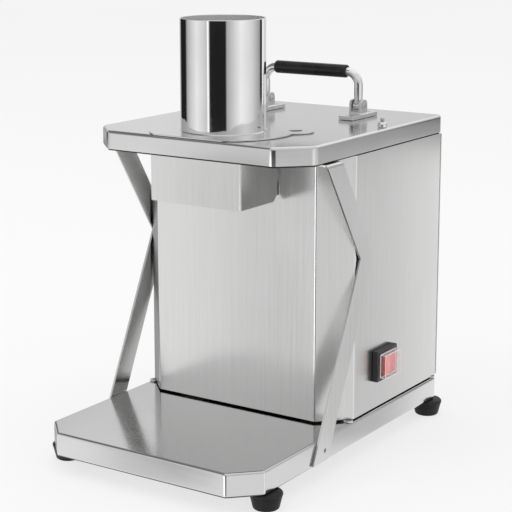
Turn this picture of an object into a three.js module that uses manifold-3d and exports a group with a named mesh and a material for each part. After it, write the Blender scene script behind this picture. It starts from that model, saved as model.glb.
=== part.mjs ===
// Electric vegetable dicer, bench-top, stainless steel.
// Millimetres, +Z up. The parts are laid out with X across from the mid-plane and Y from the rear
// plane; the front is -Y. The outermost group then moves the machine so that the origin is the
// centre of its footprint, on the floor.

import * as THREE from 'three';
import { mergeVertices } from 'three/addons/utils/BufferGeometryUtils.js';
import Module from 'manifold-3d';

const wasm = await Module();
wasm.setup();

// ---- Driving dimensions ---------------------------------------------------------------------

const GAP = 0.3;                 // clearance between pieces that touch
const HALF_WIDTH = 135;          // half the width of the base and of the top plate
const SHEET = 1.5;               // sheet of the base, top plate and deck
const THIN_SHEET = 1.2;          // sheet of the body, rear cover and chute
const REAR_RADIUS = 6;           // corner radius of the base and top plate at the rear
const CURVE_STEPS = 24;          // sides of a round piece

// Base
const BASE_BOTTOM = 22;
const BASE_DEPTH = 398;
const BASE_TOP = 48;
const BASE_CHAMFER = 28;
const BASE_LIP = 34;             // width of the lip folded under the base
const FOOT = { x: 127.5, frontY: -356, rearY: -11, height: 18, topRadius: 17, bottomRadius: 13.5 };

// Body
const BODY_HALF = 133.5;
const BODY_DEPTH = 224.6;
const BODY_CHAMFER = 30.8;
const BODY_BOTTOM = 50.3;
const REAR_FLANGE = 13;          // inward flange that the rear cover is screwed to
const VENT = { length: 70, height: 5, pitch: 13, rows: 6, x: 58, lowestZ: 215 };
const SPACER = { x: 129.8, frontY: -199, rearY: -9, bore: 2.6, radius: 5.2 };
const GLAND = { x: -62, z: 82, bore: 3.6 };

// Top plate, deck and chute
const DECK_BOTTOM = 336;
const RIM_BOTTOM = 337.6;        // lower edge of the top plate's rim, just above the deck
const PLATE_TOP = 357;
const PLATE_DEPTH = 309.5;
const PLATE_CHAMFER = 31;
const BODY_TOP = DECK_BOTTOM - GAP;
const DECK_TOP = DECK_BOTTOM + SHEET;
const LID_UNDER = PLATE_TOP - SHEET;
const LID_STUD = { x: 126.5, y: -128, radius: 2.5, height: 10 };
const LID_NUT = { radius: 5.2, height: 5.8 };
const LID_SCREW_HOLE = 2.4;
const OUTLET_RADIUS = 46;
const SEAL_RADIUS = 12;
const CHUTE = { half: 57, front: -296, rear: -227.6, bottom: 285.5, cut: 7, flange: 5 };
const SLIDE = { half: 51.2, rear: -197, lowY: -226.4, lowZ: 292.4 };

// Feed tube, flange and dicing grid
const TUBE = { y: -244, radius: 45, wall: 1.5, top: 476 };
const FLANGE = { radius: 78, thickness: 1.3, earX: 68, earY: -209, earRadius: 19.5, holeRadius: 7 };
const FLANGE_BOTTOM = PLATE_TOP + GAP;
const FLANGE_TOP = FLANGE_BOTTOM + FLANGE.thickness;
const GRID_SEAT = { inner: TUBE.radius, bore: 47.3, outer: 50, bottom: 343.3, ledge: 1.3 };
const GRID_BOTTOM = GRID_SEAT.bottom + GRID_SEAT.ledge + GAP;
const GRID_TOP = GRID_BOTTOM + 11;
const GRID_BORE = TUBE.radius - TUBE.wall;
const GRID_GROOVE = 45.4;
const KNIFE = { pitch: 15.5, thickness: 0.9, rows: 3 };

// Braces: the front edge's three points in Y and Z, top to bottom
const BRACE = { width: 26, thickness: 2.4, tab: 24, hole: 2.3 };
const BRACE_TOP = BODY_TOP;
const BRACE_FRONT = [[-261, BRACE_TOP], [-190, 225], [-283, 25]];
const BRACE_SCREW = { y: -260, z: 36 };

// Folding handle
const HANDLE = { x: 5.5, y: -76, spacing: 123, pivotZ: 370.5, gripZ: 408, barRadius: 4.9, bend: 15 };
const GRIP = { half: 47, radius: 7.3 };
const BRACKET = { width: 18.5, length: 56, thickness: 4.3, screwOffset: 18 };
const BRACKET_BOTTOM = PLATE_TOP + GAP;
const LUG_SLOT = HANDLE.barRadius + GAP;
const LUG = { depth: 15, cheek: 2.3, top: 20.5, floor: 7.5, pinRadius: 2.2 };

// Switch
const SWITCH = { y: -133, z: 98.5, width: 44, height: 34.5, bezel: 6.5, boot: 14 };
const SWITCH_FACE = BODY_HALF + GAP;
const SWITCH_BARREL = { width: 35, height: 25.5, depth: 24 };
const SWITCH_POCKET = { width: 28, height: 21.5, depth: 6 };
const BOOT = { width: 35, height: 27, wall: 1 };
const ROCKER = { length: 26, height: 20, pivotX: 139.5, tilt: 7 };

// Cutting spindle
const SPINDLE_Y = -175;
const SHAFT_RADIUS = 7.4;
const BEARING = { inner: SHAFT_RADIUS + GAP, outer: 17.5, width: 11, upperZ: 316.5, lowerZ: 248.5 };
const HOUSING = { radius: 22, bottom: 246, flange: 5.7, bore: BEARING.outer + GAP };
const BLADE = { bottom: 340.6, thickness: 2.2, hub: 19, bore: 6.3, reach: 110 };
const PULLEY = { bottom: 222, top: 240, spindleRadius: 40, motorRadius: 18, rim: 4 };
const BELT = { thickness: 2.3, side: 3.5 };

// Motor and electrical parts
const MOTOR_Y = -70;
const MOTOR = { radius: 50, bottom: 64, top: 205, shaft: 7 };
const MOTOR_PLATE = { half: BODY_HALF - THIN_SHEET - GAP, frontY: -126, rearY: -12, z: 206 };
const CAPACITOR = { x: -92, y: -168 };
const TERMINALS = { x: 84, y: -172 };

// ---- Materials ------------------------------------------------------------------------------

function metal(color, roughness) {
  return new THREE.MeshStandardMaterial({ color, roughness, metalness: 1 });
}

function plastic(color, roughness) {
  return new THREE.MeshStandardMaterial({ color, roughness, metalness: 0 });
}

const MATERIAL = {
  brushed: metal(0xc6c6c5, 0.34),
  satin: metal(0xcacaca, 0.26),
  mirror: metal(0xe2e2e2, 0.06),
  chrome: metal(0xdddddd, 0.08),
  steel: metal(0xa8a9ab, 0.35),
  castAluminium: metal(0xb3b5b8, 0.5),
  blackRubber: plastic(0x151515, 0.7),
  blackPlastic: plastic(0x1b1b1b, 0.4),
  redPlastic: plastic(0xd8322f, 0.25),
  clearBoot: new THREE.MeshStandardMaterial({
    color: 0xf4f0f0, roughness: 0.15, metalness: 0, transparent: true, opacity: 0.35,
  }),
  darkPaint: plastic(0x3a3f45, 0.5),
  whitePlastic: plastic(0xe6e4dc, 0.4),
};

// ---- Solids ---------------------------------------------------------------------------------

function toSolid(geometry) {
  const bare = geometry.clone();
  bare.deleteAttribute('normal');
  bare.deleteAttribute('uv');
  const merged = mergeVertices(bare, 1e-4);
  return new wasm.Manifold(new wasm.Mesh({
    numProp: 3,
    vertProperties: Float32Array.from(merged.attributes.position.array),
    triVerts: Uint32Array.from(merged.index.array),
  }));
}

function toGeometry(solid) {
  const mesh = solid.getMesh();
  const geometry = new THREE.BufferGeometry();
  geometry.setAttribute('position', new THREE.BufferAttribute(mesh.vertProperties, mesh.numProp));
  geometry.setIndex(new THREE.BufferAttribute(mesh.triVerts, 1));
  geometry.computeVertexNormals();
  return geometry;
}

function join(...geometries) {
  return toGeometry(geometries.map(toSolid).reduce((a, b) => a.add(b)));
}

function cut(geometry, ...tools) {
  return toGeometry(tools.map(toSolid).reduce((a, b) => a.subtract(b), toSolid(geometry)));
}

function block(x0, x1, y0, y1, z0, z1) {
  return new THREE.BoxGeometry(x1 - x0, y1 - y0, z1 - z0)
    .translate((x0 + x1) / 2, (y0 + y1) / 2, (z0 + z1) / 2);
}

// A flat outline in X and Y, raised from z0 to z1.
function slab(shape, z0, z1, steps = 4) {
  return new THREE.ExtrudeGeometry(shape, {
    depth: z1 - z0, bevelEnabled: false, curveSegments: steps,
  }).translate(0, 0, z0);
}

function polygon(points) {
  return new THREE.Shape(points.map(([x, y]) => new THREE.Vector2(x, y)));
}

// A solid of revolution about a vertical axis, from [radius, height] points.
function turned(profile, segments = CURVE_STEPS) {
  return new THREE.LatheGeometry(profile.map(([r, z]) => new THREE.Vector2(r, z)), segments)
    .rotateX(Math.PI / 2);
}

function rod(radius, z0, z1, segments = CURVE_STEPS) {
  return new THREE.CylinderGeometry(radius, radius, z1 - z0, segments)
    .rotateX(Math.PI / 2)
    .translate(0, 0, (z0 + z1) / 2);
}

// A turned ring: its section is the rectangle between two radii and two heights.
function ring(inner, outer, z0, z1, segments = CURVE_STEPS) {
  return turned([[inner, z0], [outer, z0], [outer, z1], [inner, z1], [inner, z0]], segments);
}

// The outline of a plate: straight sides, two chamfered front corners, two round rear corners.
function plateOutline(half, front, rear, chamfer, radius) {
  const shape = new THREE.Shape();
  shape.moveTo(-half + chamfer, front);
  shape.lineTo(half - chamfer, front);
  shape.lineTo(half, front + chamfer);
  shape.lineTo(half, rear - radius);
  shape.absarc(half - radius, rear - radius, radius, 0, Math.PI / 2, false);
  shape.lineTo(-half + radius, rear);
  shape.absarc(-half + radius, rear - radius, radius, Math.PI / 2, Math.PI, false);
  shape.lineTo(-half, front + chamfer);
  shape.closePath();
  return shape;
}

// How much shorter a 45 degree chamfer is on a wall offset inwards by t.
function innerChamfer(chamfer, t) {
  return chamfer - t * (2 - Math.SQRT2);
}

// ---- The scene graph ------------------------------------------------------------------------

const machine = new THREE.Group();

function addPart(name, geometry, material, x = 0, y = 0, z = 0) {
  const mesh = new THREE.Mesh(geometry, material);
  mesh.name = name;
  mesh.position.set(x, y, z);
  machine.add(mesh);
  return mesh;
}

const SIDES = [['left', -1], ['right', 1]];

// ---- Base -----------------------------------------------------------------------------------

// A folded pan, open underneath, with a lip turned in all round its lower edge.
function basePan() {
  const outer = plateOutline(HALF_WIDTH, -BASE_DEPTH, 0, BASE_CHAMFER, REAR_RADIUS);
  const inner = plateOutline(
    HALF_WIDTH - SHEET, -BASE_DEPTH + SHEET, -SHEET,
    innerChamfer(BASE_CHAMFER, SHEET), REAR_RADIUS - SHEET,
  );
  const opening = block(
    -HALF_WIDTH + BASE_LIP, HALF_WIDTH - BASE_LIP,
    -BASE_DEPTH + BASE_LIP, -BASE_LIP, BASE_BOTTOM - 1, BASE_TOP - 2 * SHEET,
  );
  return cut(
    slab(outer, BASE_BOTTOM, BASE_TOP),
    slab(inner, BASE_BOTTOM + SHEET, BASE_TOP - SHEET),
    opening,
  );
}

function foot() {
  const top = FOOT.height - GAP;
  return turned([
    [0, 0], [FOOT.bottomRadius - 1, 0], [FOOT.bottomRadius, 1],
    [FOOT.topRadius, top - 4.5], [FOOT.topRadius, top - 2], [FOOT.topRadius - 2, top], [0, top],
  ], 16);
}

addPart('base_pan', basePan(), MATERIAL.satin);
for (const [side, sign] of SIDES) {
  for (const [end, y] of [['front', FOOT.frontY], ['rear', FOOT.rearY]]) {
    addPart(`foot_${end}_${side}`, foot(), MATERIAL.blackRubber,
      sign * FOOT.x, y, BASE_BOTTOM - FOOT.height);
  }
}

// ---- Body -----------------------------------------------------------------------------------

// The wrap of sheet that makes the front, the two corner faces and the two sides. It is open at
// the top and bottom, and flanged inwards at the rear.
function bodyShell() {
  const rear = -THIN_SHEET - GAP;
  const outer = plateOutline(BODY_HALF, -BODY_DEPTH, rear, BODY_CHAMFER, 0.01);
  const inner = plateOutline(
    BODY_HALF - THIN_SHEET, -BODY_DEPTH + THIN_SHEET, rear - THIN_SHEET,
    innerChamfer(BODY_CHAMFER, THIN_SHEET), 0.01,
  );
  const rearDoor = block(
    -BODY_HALF + REAR_FLANGE, BODY_HALF - REAR_FLANGE, rear - 2 * THIN_SHEET, rear + 1,
    BODY_BOTTOM - 1, BODY_TOP + 1,
  );
  const chuteNotch = block(
    -CHUTE.half - GAP, CHUTE.half + GAP, -BODY_DEPTH - 1, -BODY_DEPTH + 2 * THIN_SHEET,
    CHUTE.bottom + 5.8, BODY_TOP + 1,
  );
  const switchHole = block(
    BODY_HALF - 2 * THIN_SHEET, BODY_HALF + 1,
    SWITCH.y - SWITCH.width / 2 + 4, SWITCH.y + SWITCH.width / 2 - 4,
    SWITCH.z - SWITCH.height / 2 + 4, SWITCH.z + SWITCH.height / 2 - 4,
  );
  return cut(
    slab(outer, BODY_BOTTOM, BODY_TOP),
    slab(inner, BODY_BOTTOM - 1, BODY_TOP + 1),
    rearDoor, chuteNotch, switchHole,
  );
}

function ventSlot(x, z) {
  const shape = new THREE.Shape();
  const straight = VENT.length / 2 - VENT.height / 2;
  shape.absarc(straight, 0, VENT.height / 2, -Math.PI / 2, Math.PI / 2, false);
  shape.absarc(-straight, 0, VENT.height / 2, Math.PI / 2, 3 * Math.PI / 2, false);
  shape.closePath();
  return slab(shape, -3, 3, 2).rotateX(Math.PI / 2).translate(x, 0, z);
}

function rearCover() {
  const slots = [];
  for (let row = 0; row < VENT.rows; row += 1) {
    for (const [, sign] of SIDES) {
      slots.push(ventSlot(sign * VENT.x, VENT.lowestZ + row * VENT.pitch));
    }
  }
  const glandHole = rod(8, -4, 4, 16).rotateX(Math.PI / 2).translate(GLAND.x, 0, GLAND.z);
  return cut(
    block(-BODY_HALF, BODY_HALF, -THIN_SHEET, 0, BODY_BOTTOM, BODY_TOP),
    ...slots, glandHole,
  );
}

// A round-headed screw that points along -Y, its head standing behind the rear cover.
function coverScrew() {
  return turned([[0, 0], [3.6, 0], [3.3, 1.4], [2.2, 2.3], [0, 2.6]], 12)
    .rotateX(-Math.PI / 2);
}

function spacerNut() {
  return ring(SPACER.bore, SPACER.radius, BASE_TOP + GAP, BODY_BOTTOM - GAP, 6);
}

addPart('body_shell', bodyShell(), MATERIAL.brushed);
addPart('rear_cover', rearCover(), MATERIAL.brushed);
for (const [side, sign] of SIDES) {
  const x = sign * (BODY_HALF - REAR_FLANGE / 2);
  addPart(`cover_screw_top_${side}`, coverScrew(), MATERIAL.steel, x, GAP, BODY_TOP - 14);
  addPart(`cover_screw_bottom_${side}`, coverScrew(), MATERIAL.steel, x, GAP, BODY_BOTTOM + 14);
}
for (const [side, sign] of SIDES) {
  addPart(`spacer_nut_front_${side}`, spacerNut(), MATERIAL.steel, sign * SPACER.x, SPACER.frontY);
  addPart(`spacer_nut_rear_${side}`, spacerNut(), MATERIAL.steel, sign * SPACER.x, SPACER.rearY);
}

// The cable gland: a hexagonal dome nut outside, a threaded barrel through the cover.
function cordGland() {
  const { bore } = GLAND;
  return turned([
    [bore, -9], [7.6, -9], [7.6, GAP], [12, GAP], [12, 9], [9, 17], [6, 19], [bore, 19], [bore, -9],
  ], 12).rotateX(-Math.PI / 2);
}

addPart('cord_gland', cordGland(), MATERIAL.blackPlastic, GLAND.x, 0, GLAND.z);

// ---- Top plate, deck and chute --------------------------------------------------------------

function lidScrewPlaces() {
  const places = [];
  for (const [, sign] of SIDES) {
    for (const offset of [-BRACKET.screwOffset, BRACKET.screwOffset]) {
      places.push([HANDLE.x + sign * HANDLE.spacing / 2, HANDLE.y + offset]);
    }
  }
  return places;
}

// The lid of the cutting chamber, with a drawn seat for the dicing grid under its opening.
function topPlate() {
  const outer = plateOutline(HALF_WIDTH, -PLATE_DEPTH, 0, PLATE_CHAMFER, REAR_RADIUS);
  const inner = plateOutline(
    HALF_WIDTH - SHEET, -PLATE_DEPTH + SHEET, -SHEET,
    innerChamfer(PLATE_CHAMFER, SHEET), REAR_RADIUS - SHEET,
  );
  const seat = turned([
    [GRID_SEAT.inner, GRID_SEAT.bottom], [GRID_SEAT.outer, GRID_SEAT.bottom],
    [GRID_SEAT.outer, LID_UNDER + 0.5], [GRID_SEAT.bore, LID_UNDER + 0.5],
    [GRID_SEAT.bore, GRID_SEAT.bottom + GRID_SEAT.ledge],
    [GRID_SEAT.inner, GRID_SEAT.bottom + GRID_SEAT.ledge], [GRID_SEAT.inner, GRID_SEAT.bottom],
  ]).translate(0, TUBE.y, 0);
  const holes = lidScrewPlaces().map(
    ([x, y]) => rod(LID_SCREW_HOLE, LID_UNDER - 1, PLATE_TOP + 1, 10).translate(x, y, 0),
  );
  for (const [, sign] of SIDES) {
    holes.push(rod(LID_STUD.radius + GAP, LID_UNDER - 1, PLATE_TOP + 1, 10)
      .translate(sign * LID_STUD.x, LID_STUD.y, 0));
  }
  const shell = cut(
    slab(outer, RIM_BOTTOM, PLATE_TOP),
    slab(inner, RIM_BOTTOM - 1, LID_UNDER),
    rod(GRID_SEAT.bore, LID_UNDER - 1, PLATE_TOP + 1).translate(0, TUBE.y, 0),
    ...holes,
  );
  return join(shell, seat);
}

// The floor of the cutting chamber, inside the top plate's rim and on top of the body.
function deckPlate() {
  const inset = SHEET + GAP;
  const outline = plateOutline(
    HALF_WIDTH - inset, -PLATE_DEPTH + inset, -inset,
    innerChamfer(PLATE_CHAMFER, inset), REAR_RADIUS - inset,
  );
  return cut(
    slab(outline, DECK_BOTTOM, DECK_TOP),
    rod(OUTLET_RADIUS, DECK_BOTTOM - 1, DECK_TOP + 1).translate(0, TUBE.y, 0),
    rod(SEAL_RADIUS, DECK_BOTTOM - 1, DECK_TOP + 1, 24).translate(0, SPINDLE_Y, 0),
  );
}

// The hood under the front: a front wall and two side walls, open below.
function chuteHood() {
  const { half, front, rear, bottom, cut: corner, flange } = CHUTE;
  const t = THIN_SHEET;
  const top = BODY_TOP;
  const walls = cut(
    block(-half, half, front, rear, bottom, top),
    block(-half + t, half - t, front + t, rear + 1, bottom - 1, top - t),
    block(-half + t + flange, half - t - flange, front + t + flange, rear + 1, top - 2 * t, top + 1),
  );
  const cornerCut = new THREE.ExtrudeGeometry(
    polygon([[rear - corner, bottom - 0.1], [rear + 1, bottom - 0.1], [rear + 1, bottom + corner + 1]]),
    { depth: 2 * half + 2, bevelEnabled: false },
  );
  cornerCut.rotateX(Math.PI / 2).rotateZ(Math.PI / 2).translate(-half - 1, 0, 0);
  return cut(walls, cornerCut);
}

// The slide inside the body that turns the dice forward into the hood.
function chuteSlide() {
  const { half, rear, lowY, lowZ } = SLIDE;
  const t = THIN_SHEET;
  const high = BODY_TOP;
  const fall = [[rear + 1.5 * t, high], [rear, high], [lowY, lowZ], [lowY + t, lowZ - t]];
  const lap = t / 3;
  const cheek = [
    [rear, high], [rear + lap, high - lap], [lowY + lap, lowZ - lap], [lowY, high],
  ];
  const slope = extrudeAcross(fall, -half, half);
  const cheeks = [
    extrudeAcross(cheek, -half, -half + t),
    extrudeAcross(cheek, half - t, half),
  ];
  return join(slope, ...cheeks);
}

// An outline in Y and Z, extruded across the machine from x0 to x1.
function extrudeAcross(points, x0, x1) {
  return new THREE.ExtrudeGeometry(polygon(points), { depth: x1 - x0, bevelEnabled: false })
    .rotateX(Math.PI / 2)
    .rotateZ(Math.PI / 2)
    .translate(x0, 0, 0);
}

addPart('top_plate', topPlate(), MATERIAL.satin);
addPart('deck_plate', deckPlate(), MATERIAL.satin);
addPart('chute_hood', chuteHood(), MATERIAL.brushed);
addPart('chute_slide', chuteSlide(), MATERIAL.satin);

// The studs that hold the top plate down, with a domed nut on each.
function lidNut() {
  const { radius, height } = LID_NUT;
  const bore = LID_STUD.radius + GAP;
  return turned([
    [bore, 0], [radius, 0], [radius, height - 2.4], [radius - 1.2, height - 0.6], [bore, height],
    [bore, 0],
  ], 12);
}

for (const [side, sign] of SIDES) {
  const x = sign * LID_STUD.x;
  const stud = rod(LID_STUD.radius, DECK_TOP + GAP, PLATE_TOP + LID_STUD.height, 10);
  addPart(`lid_stud_${side}`, stud, MATERIAL.steel, x, LID_STUD.y);
  addPart(`lid_nut_${side}`, lidNut(), MATERIAL.chrome, x, LID_STUD.y, PLATE_TOP + GAP);
}

// ---- Feed tube, its flange and the dicing grid ----------------------------------------------

function feedTube() {
  return ring(TUBE.radius - TUBE.wall, TUBE.radius, GRID_TOP + GAP, TUBE.top, 40);
}

// A round plate with an ear, trimmed flush with the front of the top plate.
function feedFlange() {
  const z0 = FLANGE_BOTTOM;
  const z1 = FLANGE_TOP;
  const plate = join(
    rod(FLANGE.radius, z0, z1, 48).translate(0, TUBE.y, 0),
    rod(FLANGE.earRadius, z0, z1, 24).translate(FLANGE.earX, FLANGE.earY, 0),
  );
  return cut(
    plate,
    rod(TUBE.radius + GAP, z0 - 1, z1 + 1, 40).translate(0, TUBE.y, 0),
    rod(FLANGE.holeRadius, z0 - 1, z1 + 1, 16).translate(FLANGE.earX, FLANGE.earY, 0),
    block(-100, 100, -400, -PLATE_DEPTH + 0.5, z0 - 1, z1 + 1),
  );
}

// The grid's frame, grooved inside to hold the ends of the knives.
function gridFrame() {
  const outer = GRID_SEAT.bore - GAP;
  return turned([
    [GRID_BORE, GRID_BOTTOM], [outer, GRID_BOTTOM], [outer, GRID_TOP], [GRID_BORE, GRID_TOP],
    [GRID_BORE, GRID_TOP - 1.5], [GRID_GROOVE, GRID_TOP - 1.5],
    [GRID_GROOVE, GRID_BOTTOM + 1.5], [GRID_BORE, GRID_BOTTOM + 1.5], [GRID_BORE, GRID_BOTTOM],
  ]);
}

// Two crossed rows of upright knives, welded where they cross: a disc cut into square cells.
function gridKnives() {
  const { pitch, thickness, rows } = KNIFE;
  const z0 = GRID_BOTTOM + 1.8;
  const z1 = GRID_TOP - 1.8;
  const size = pitch - thickness;
  const cells = [];
  for (let i = -rows; i < rows; i += 1) {
    for (let j = -rows; j < rows; j += 1) {
      const x = i * pitch + thickness / 2;
      const y = j * pitch + thickness / 2;
      cells.push(block(x, x + size, y, y + size, z0 - 1, z1 + 1));
    }
  }
  return cut(rod(GRID_GROOVE - 0.6, z0, z1), ...cells);
}

addPart('feed_tube', feedTube(), MATERIAL.mirror, 0, TUBE.y);
addPart('feed_flange', feedFlange(), MATERIAL.satin);
addPart('grid_frame', gridFrame(), MATERIAL.steel, 0, TUBE.y);
addPart('grid_knives', gridKnives(), MATERIAL.steel, 0, TUBE.y);

// ---- Braces ---------------------------------------------------------------------------------

// Where two lines cross, each given by a point and a direction.
function crossing(p, d, q, e) {
  const s = ((q[0] - p[0]) * e[1] - (q[1] - p[1]) * e[0]) / (d[0] * e[1] - d[1] * e[0]);
  return [p[0] + s * d[0], p[1] + s * d[1]];
}

// The strip's outline in Y and Z: two arms that meet in a mitred knee.
function braceOutline() {
  const [top, knee, bottom] = BRACE_FRONT;
  const upper = [knee[0] - top[0], knee[1] - top[1]];
  const lower = [bottom[0] - knee[0], bottom[1] - knee[1]];
  const shifted = (point, direction) => {
    const length = Math.hypot(...direction);
    return [
      point[0] - direction[1] / length * BRACE.width,
      point[1] + direction[0] / length * BRACE.width,
    ];
  };
  const rearTop = shifted(top, upper);
  const rearBottom = shifted(bottom, lower);
  const level = [1, 0];
  return [
    top, knee, bottom,
    crossing(rearBottom, lower, bottom, level),
    crossing(rearTop, upper, rearBottom, lower),
    crossing(rearTop, upper, top, level),
  ];
}

function brace() {
  const x0 = HALF_WIDTH + GAP;
  const x1 = x0 + BRACE.thickness;
  const outline = braceOutline();
  const frontY = outline[0][0];
  const rearY = outline[5][0];
  const strip = extrudeAcross(outline, x0, x1);
  const tab = block(
    x1 - BRACE.tab, x1 - 0.5, frontY, rearY, BRACE_TOP - BRACE.thickness, BRACE_TOP,
  );
  const hole = rod(BRACE.hole, x0 - 1, x1 + 1, 12)
    .rotateY(Math.PI / 2)
    .translate(0, BRACE_SCREW.y, BRACE_SCREW.z);
  return cut(join(strip, tab), hole);
}

// The end of the screw along X that holds the brace from inside, sunk in the brace's hole.
function braceScrew() {
  const inside = HALF_WIDTH + GAP;
  return turned([[0, inside], [2, inside], [2, inside + 0.9], [1.5, inside + 1.2],
    [0, inside + 1.2]], 12).rotateY(Math.PI / 2);
}

// The mirror image of a geometry across the mid-plane, its faces turned out again.
function mirrored(geometry) {
  const copy = geometry.clone().toNonIndexed();
  copy.scale(-1, 1, 1);
  const position = copy.attributes.position;
  for (let i = 0; i < position.count; i += 3) {
    const a = new THREE.Vector3().fromBufferAttribute(position, i);
    const b = new THREE.Vector3().fromBufferAttribute(position, i + 1);
    position.setXYZ(i, b.x, b.y, b.z);
    position.setXYZ(i + 1, a.x, a.y, a.z);
  }
  copy.computeVertexNormals();
  return copy;
}

addPart('brace_right', brace(), MATERIAL.brushed);
addPart('brace_left', mirrored(brace()), MATERIAL.brushed);
addPart('brace_screw_right', braceScrew(), MATERIAL.steel, 0, BRACE_SCREW.y, BRACE_SCREW.z);
addPart('brace_screw_left', mirrored(braceScrew()), MATERIAL.steel, 0, BRACE_SCREW.y, BRACE_SCREW.z);

// ---- Folding handle -------------------------------------------------------------------------

// One bracket: a base plate with two countersunk holes, and a slotted lug that holds the pin.
function handleBracket() {
  const z0 = BRACKET_BOTTOM;
  const z1 = z0 + BRACKET.thickness;
  const half = LUG_SLOT + LUG.cheek;
  const plate = block(
    -BRACKET.width / 2, BRACKET.width / 2, -BRACKET.length / 2, BRACKET.length / 2, z0, z1,
  );
  const lug = block(-half, half, -LUG.depth / 2, LUG.depth / 2, z1 - 1, PLATE_TOP + LUG.top);
  const slot = block(
    -LUG_SLOT, LUG_SLOT, -LUG.depth, LUG.depth, PLATE_TOP + LUG.floor, PLATE_TOP + LUG.top + 1,
  );
  const holes = [-BRACKET.screwOffset, BRACKET.screwOffset].map((y) => turned([
    [0, z0 - 1], [2.3, z0 - 1], [2.3, z1 - 2.2], [4.4, z1 + 0.02], [4.4, z1 + 1], [0, z1 + 1],
  ], 12).translate(0, y, 0));
  const pinHole = rod(LUG.pinRadius + GAP, -12, 12, 12)
    .rotateY(Math.PI / 2)
    .translate(0, 0, HANDLE.pivotZ);
  return cut(join(plate, lug), slot, ...holes, pinHole);
}

// The bail: two legs and a bar, bent from one rod, with an eye end round each pin.
function handleBar() {
  const half = HANDLE.spacing / 2;
  const z0 = HANDLE.pivotZ;
  const z1 = HANDLE.gripZ;
  const r = HANDLE.bend;
  const path = new THREE.CurvePath();
  const at = (x, z) => new THREE.Vector3(x, 0, z);
  path.add(new THREE.LineCurve3(at(-half, z0), at(-half, z1 - r)));
  path.add(new THREE.QuadraticBezierCurve3(at(-half, z1 - r), at(-half, z1), at(-half + r, z1)));
  path.add(new THREE.LineCurve3(at(-half + r, z1), at(half - r, z1)));
  path.add(new THREE.QuadraticBezierCurve3(at(half - r, z1), at(half, z1), at(half, z1 - r)));
  path.add(new THREE.LineCurve3(at(half, z1 - r), at(half, z0)));
  const section = new THREE.Shape().absarc(0, 0, HANDLE.barRadius, 0, 2 * Math.PI, false);
  const bar = new THREE.ExtrudeGeometry(section, {
    steps: 34, curveSegments: 5, extrudePath: path, bevelEnabled: false,
  });
  const pins = [-half, half].map((x) => rod(LUG.pinRadius + GAP, -8, 8, 12)
    .rotateY(Math.PI / 2)
    .translate(x, 0, z0));
  const ends = [-half, half].map((x) => rod(HANDLE.barRadius + 0.6, -HANDLE.barRadius + 0.1,
    HANDLE.barRadius - 0.1, 16).rotateY(Math.PI / 2).translate(x, 0, z0));
  return cut(join(bar, ...ends), ...pins);
}

function handleGrip() {
  const { half, radius } = GRIP;
  const bore = HANDLE.barRadius + GAP;
  return turned([
    [bore, -half], [radius - 1, -half], [radius, -half + 1], [radius, half - 1],
    [radius - 1, half], [bore, half], [bore, -half],
  ], 16).rotateY(Math.PI / 2);
}

function pivotPin() {
  const end = LUG_SLOT + LUG.cheek;
  return turned([[0, -end], [LUG.pinRadius, -end], [LUG.pinRadius, end + GAP], [3.2, end + GAP],
    [2.8, end + 1.3], [0, end + 1.3]], 12).rotateY(Math.PI / 2);
}

function bracketScrew() {
  const head = BRACKET_BOTTOM + BRACKET.thickness - 0.2;
  return turned([[0, head - 14], [1.9, head - 14], [1.9, head - 2.4], [3.8, head - 0.3],
    [3.6, head], [0, head]], 12);
}

for (const [side, sign] of SIDES) {
  const x = HANDLE.x + sign * HANDLE.spacing / 2;
  addPart(`handle_bracket_${side}`, handleBracket(), MATERIAL.satin, x, HANDLE.y);
  addPart(`handle_pin_${side}`, pivotPin(), MATERIAL.steel, x, HANDLE.y, HANDLE.pivotZ);
  for (const [place, offset] of [['front', -BRACKET.screwOffset], ['rear', BRACKET.screwOffset]]) {
    addPart(`bracket_screw_${side}_${place}`, bracketScrew(), MATERIAL.steel, x, HANDLE.y + offset);
  }
}
addPart('handle_bar', handleBar(), MATERIAL.chrome, HANDLE.x, HANDLE.y);
addPart('handle_grip', handleGrip(), MATERIAL.blackRubber, HANDLE.x, HANDLE.y, HANDLE.gripZ);

// ---- Switch ---------------------------------------------------------------------------------

// A box on the body's right side: x from the body, y and z from the switch's centre.
function switchBlock(x0, x1, width, height) {
  return block(x0, x1, -width / 2, width / 2, -height / 2, height / 2);
}

function switchHousing() {
  const bezel = switchBlock(SWITCH_FACE, SWITCH_FACE + SWITCH.bezel, SWITCH.width, SWITCH.height);
  const barrel = switchBlock(
    SWITCH_FACE - SWITCH_BARREL.depth, SWITCH_FACE + 1, SWITCH_BARREL.width, SWITCH_BARREL.height,
  );
  const pocket = switchBlock(
    SWITCH_FACE - SWITCH_POCKET.depth, SWITCH_FACE + SWITCH.bezel + 1,
    SWITCH_POCKET.width, SWITCH_POCKET.height,
  );
  return cut(join(bezel, barrel), pocket);
}

// The rocker: two faces that meet in a shallow valley, over a wedge-shaped heel.
function switchRocker() {
  const half = ROCKER.length / 2;
  const outline = polygon([[-4, -half + 3], [5.5, -half], [3.6, 0], [5.5, half], [-4, half - 3]]);
  return slab(outline, -ROCKER.height / 2, ROCKER.height / 2)
    .rotateZ(THREE.MathUtils.degToRad(ROCKER.tilt));
}

function switchBoot() {
  const x0 = SWITCH_FACE + SWITCH.bezel + GAP;
  const x1 = SWITCH_FACE + SWITCH.boot;
  const { width, height, wall } = BOOT;
  return cut(
    switchBlock(x0, x1, width, height),
    switchBlock(x0 - 1, x1 - wall, width - 2 * wall, height - 2 * wall),
  );
}

addPart('switch_housing', switchHousing(), MATERIAL.blackPlastic, 0, SWITCH.y, SWITCH.z);
addPart('switch_rocker', switchRocker(), MATERIAL.redPlastic, ROCKER.pivotX, SWITCH.y, SWITCH.z);
addPart('switch_boot', switchBoot(), MATERIAL.clearBoot, 0, SWITCH.y, SWITCH.z);

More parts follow.
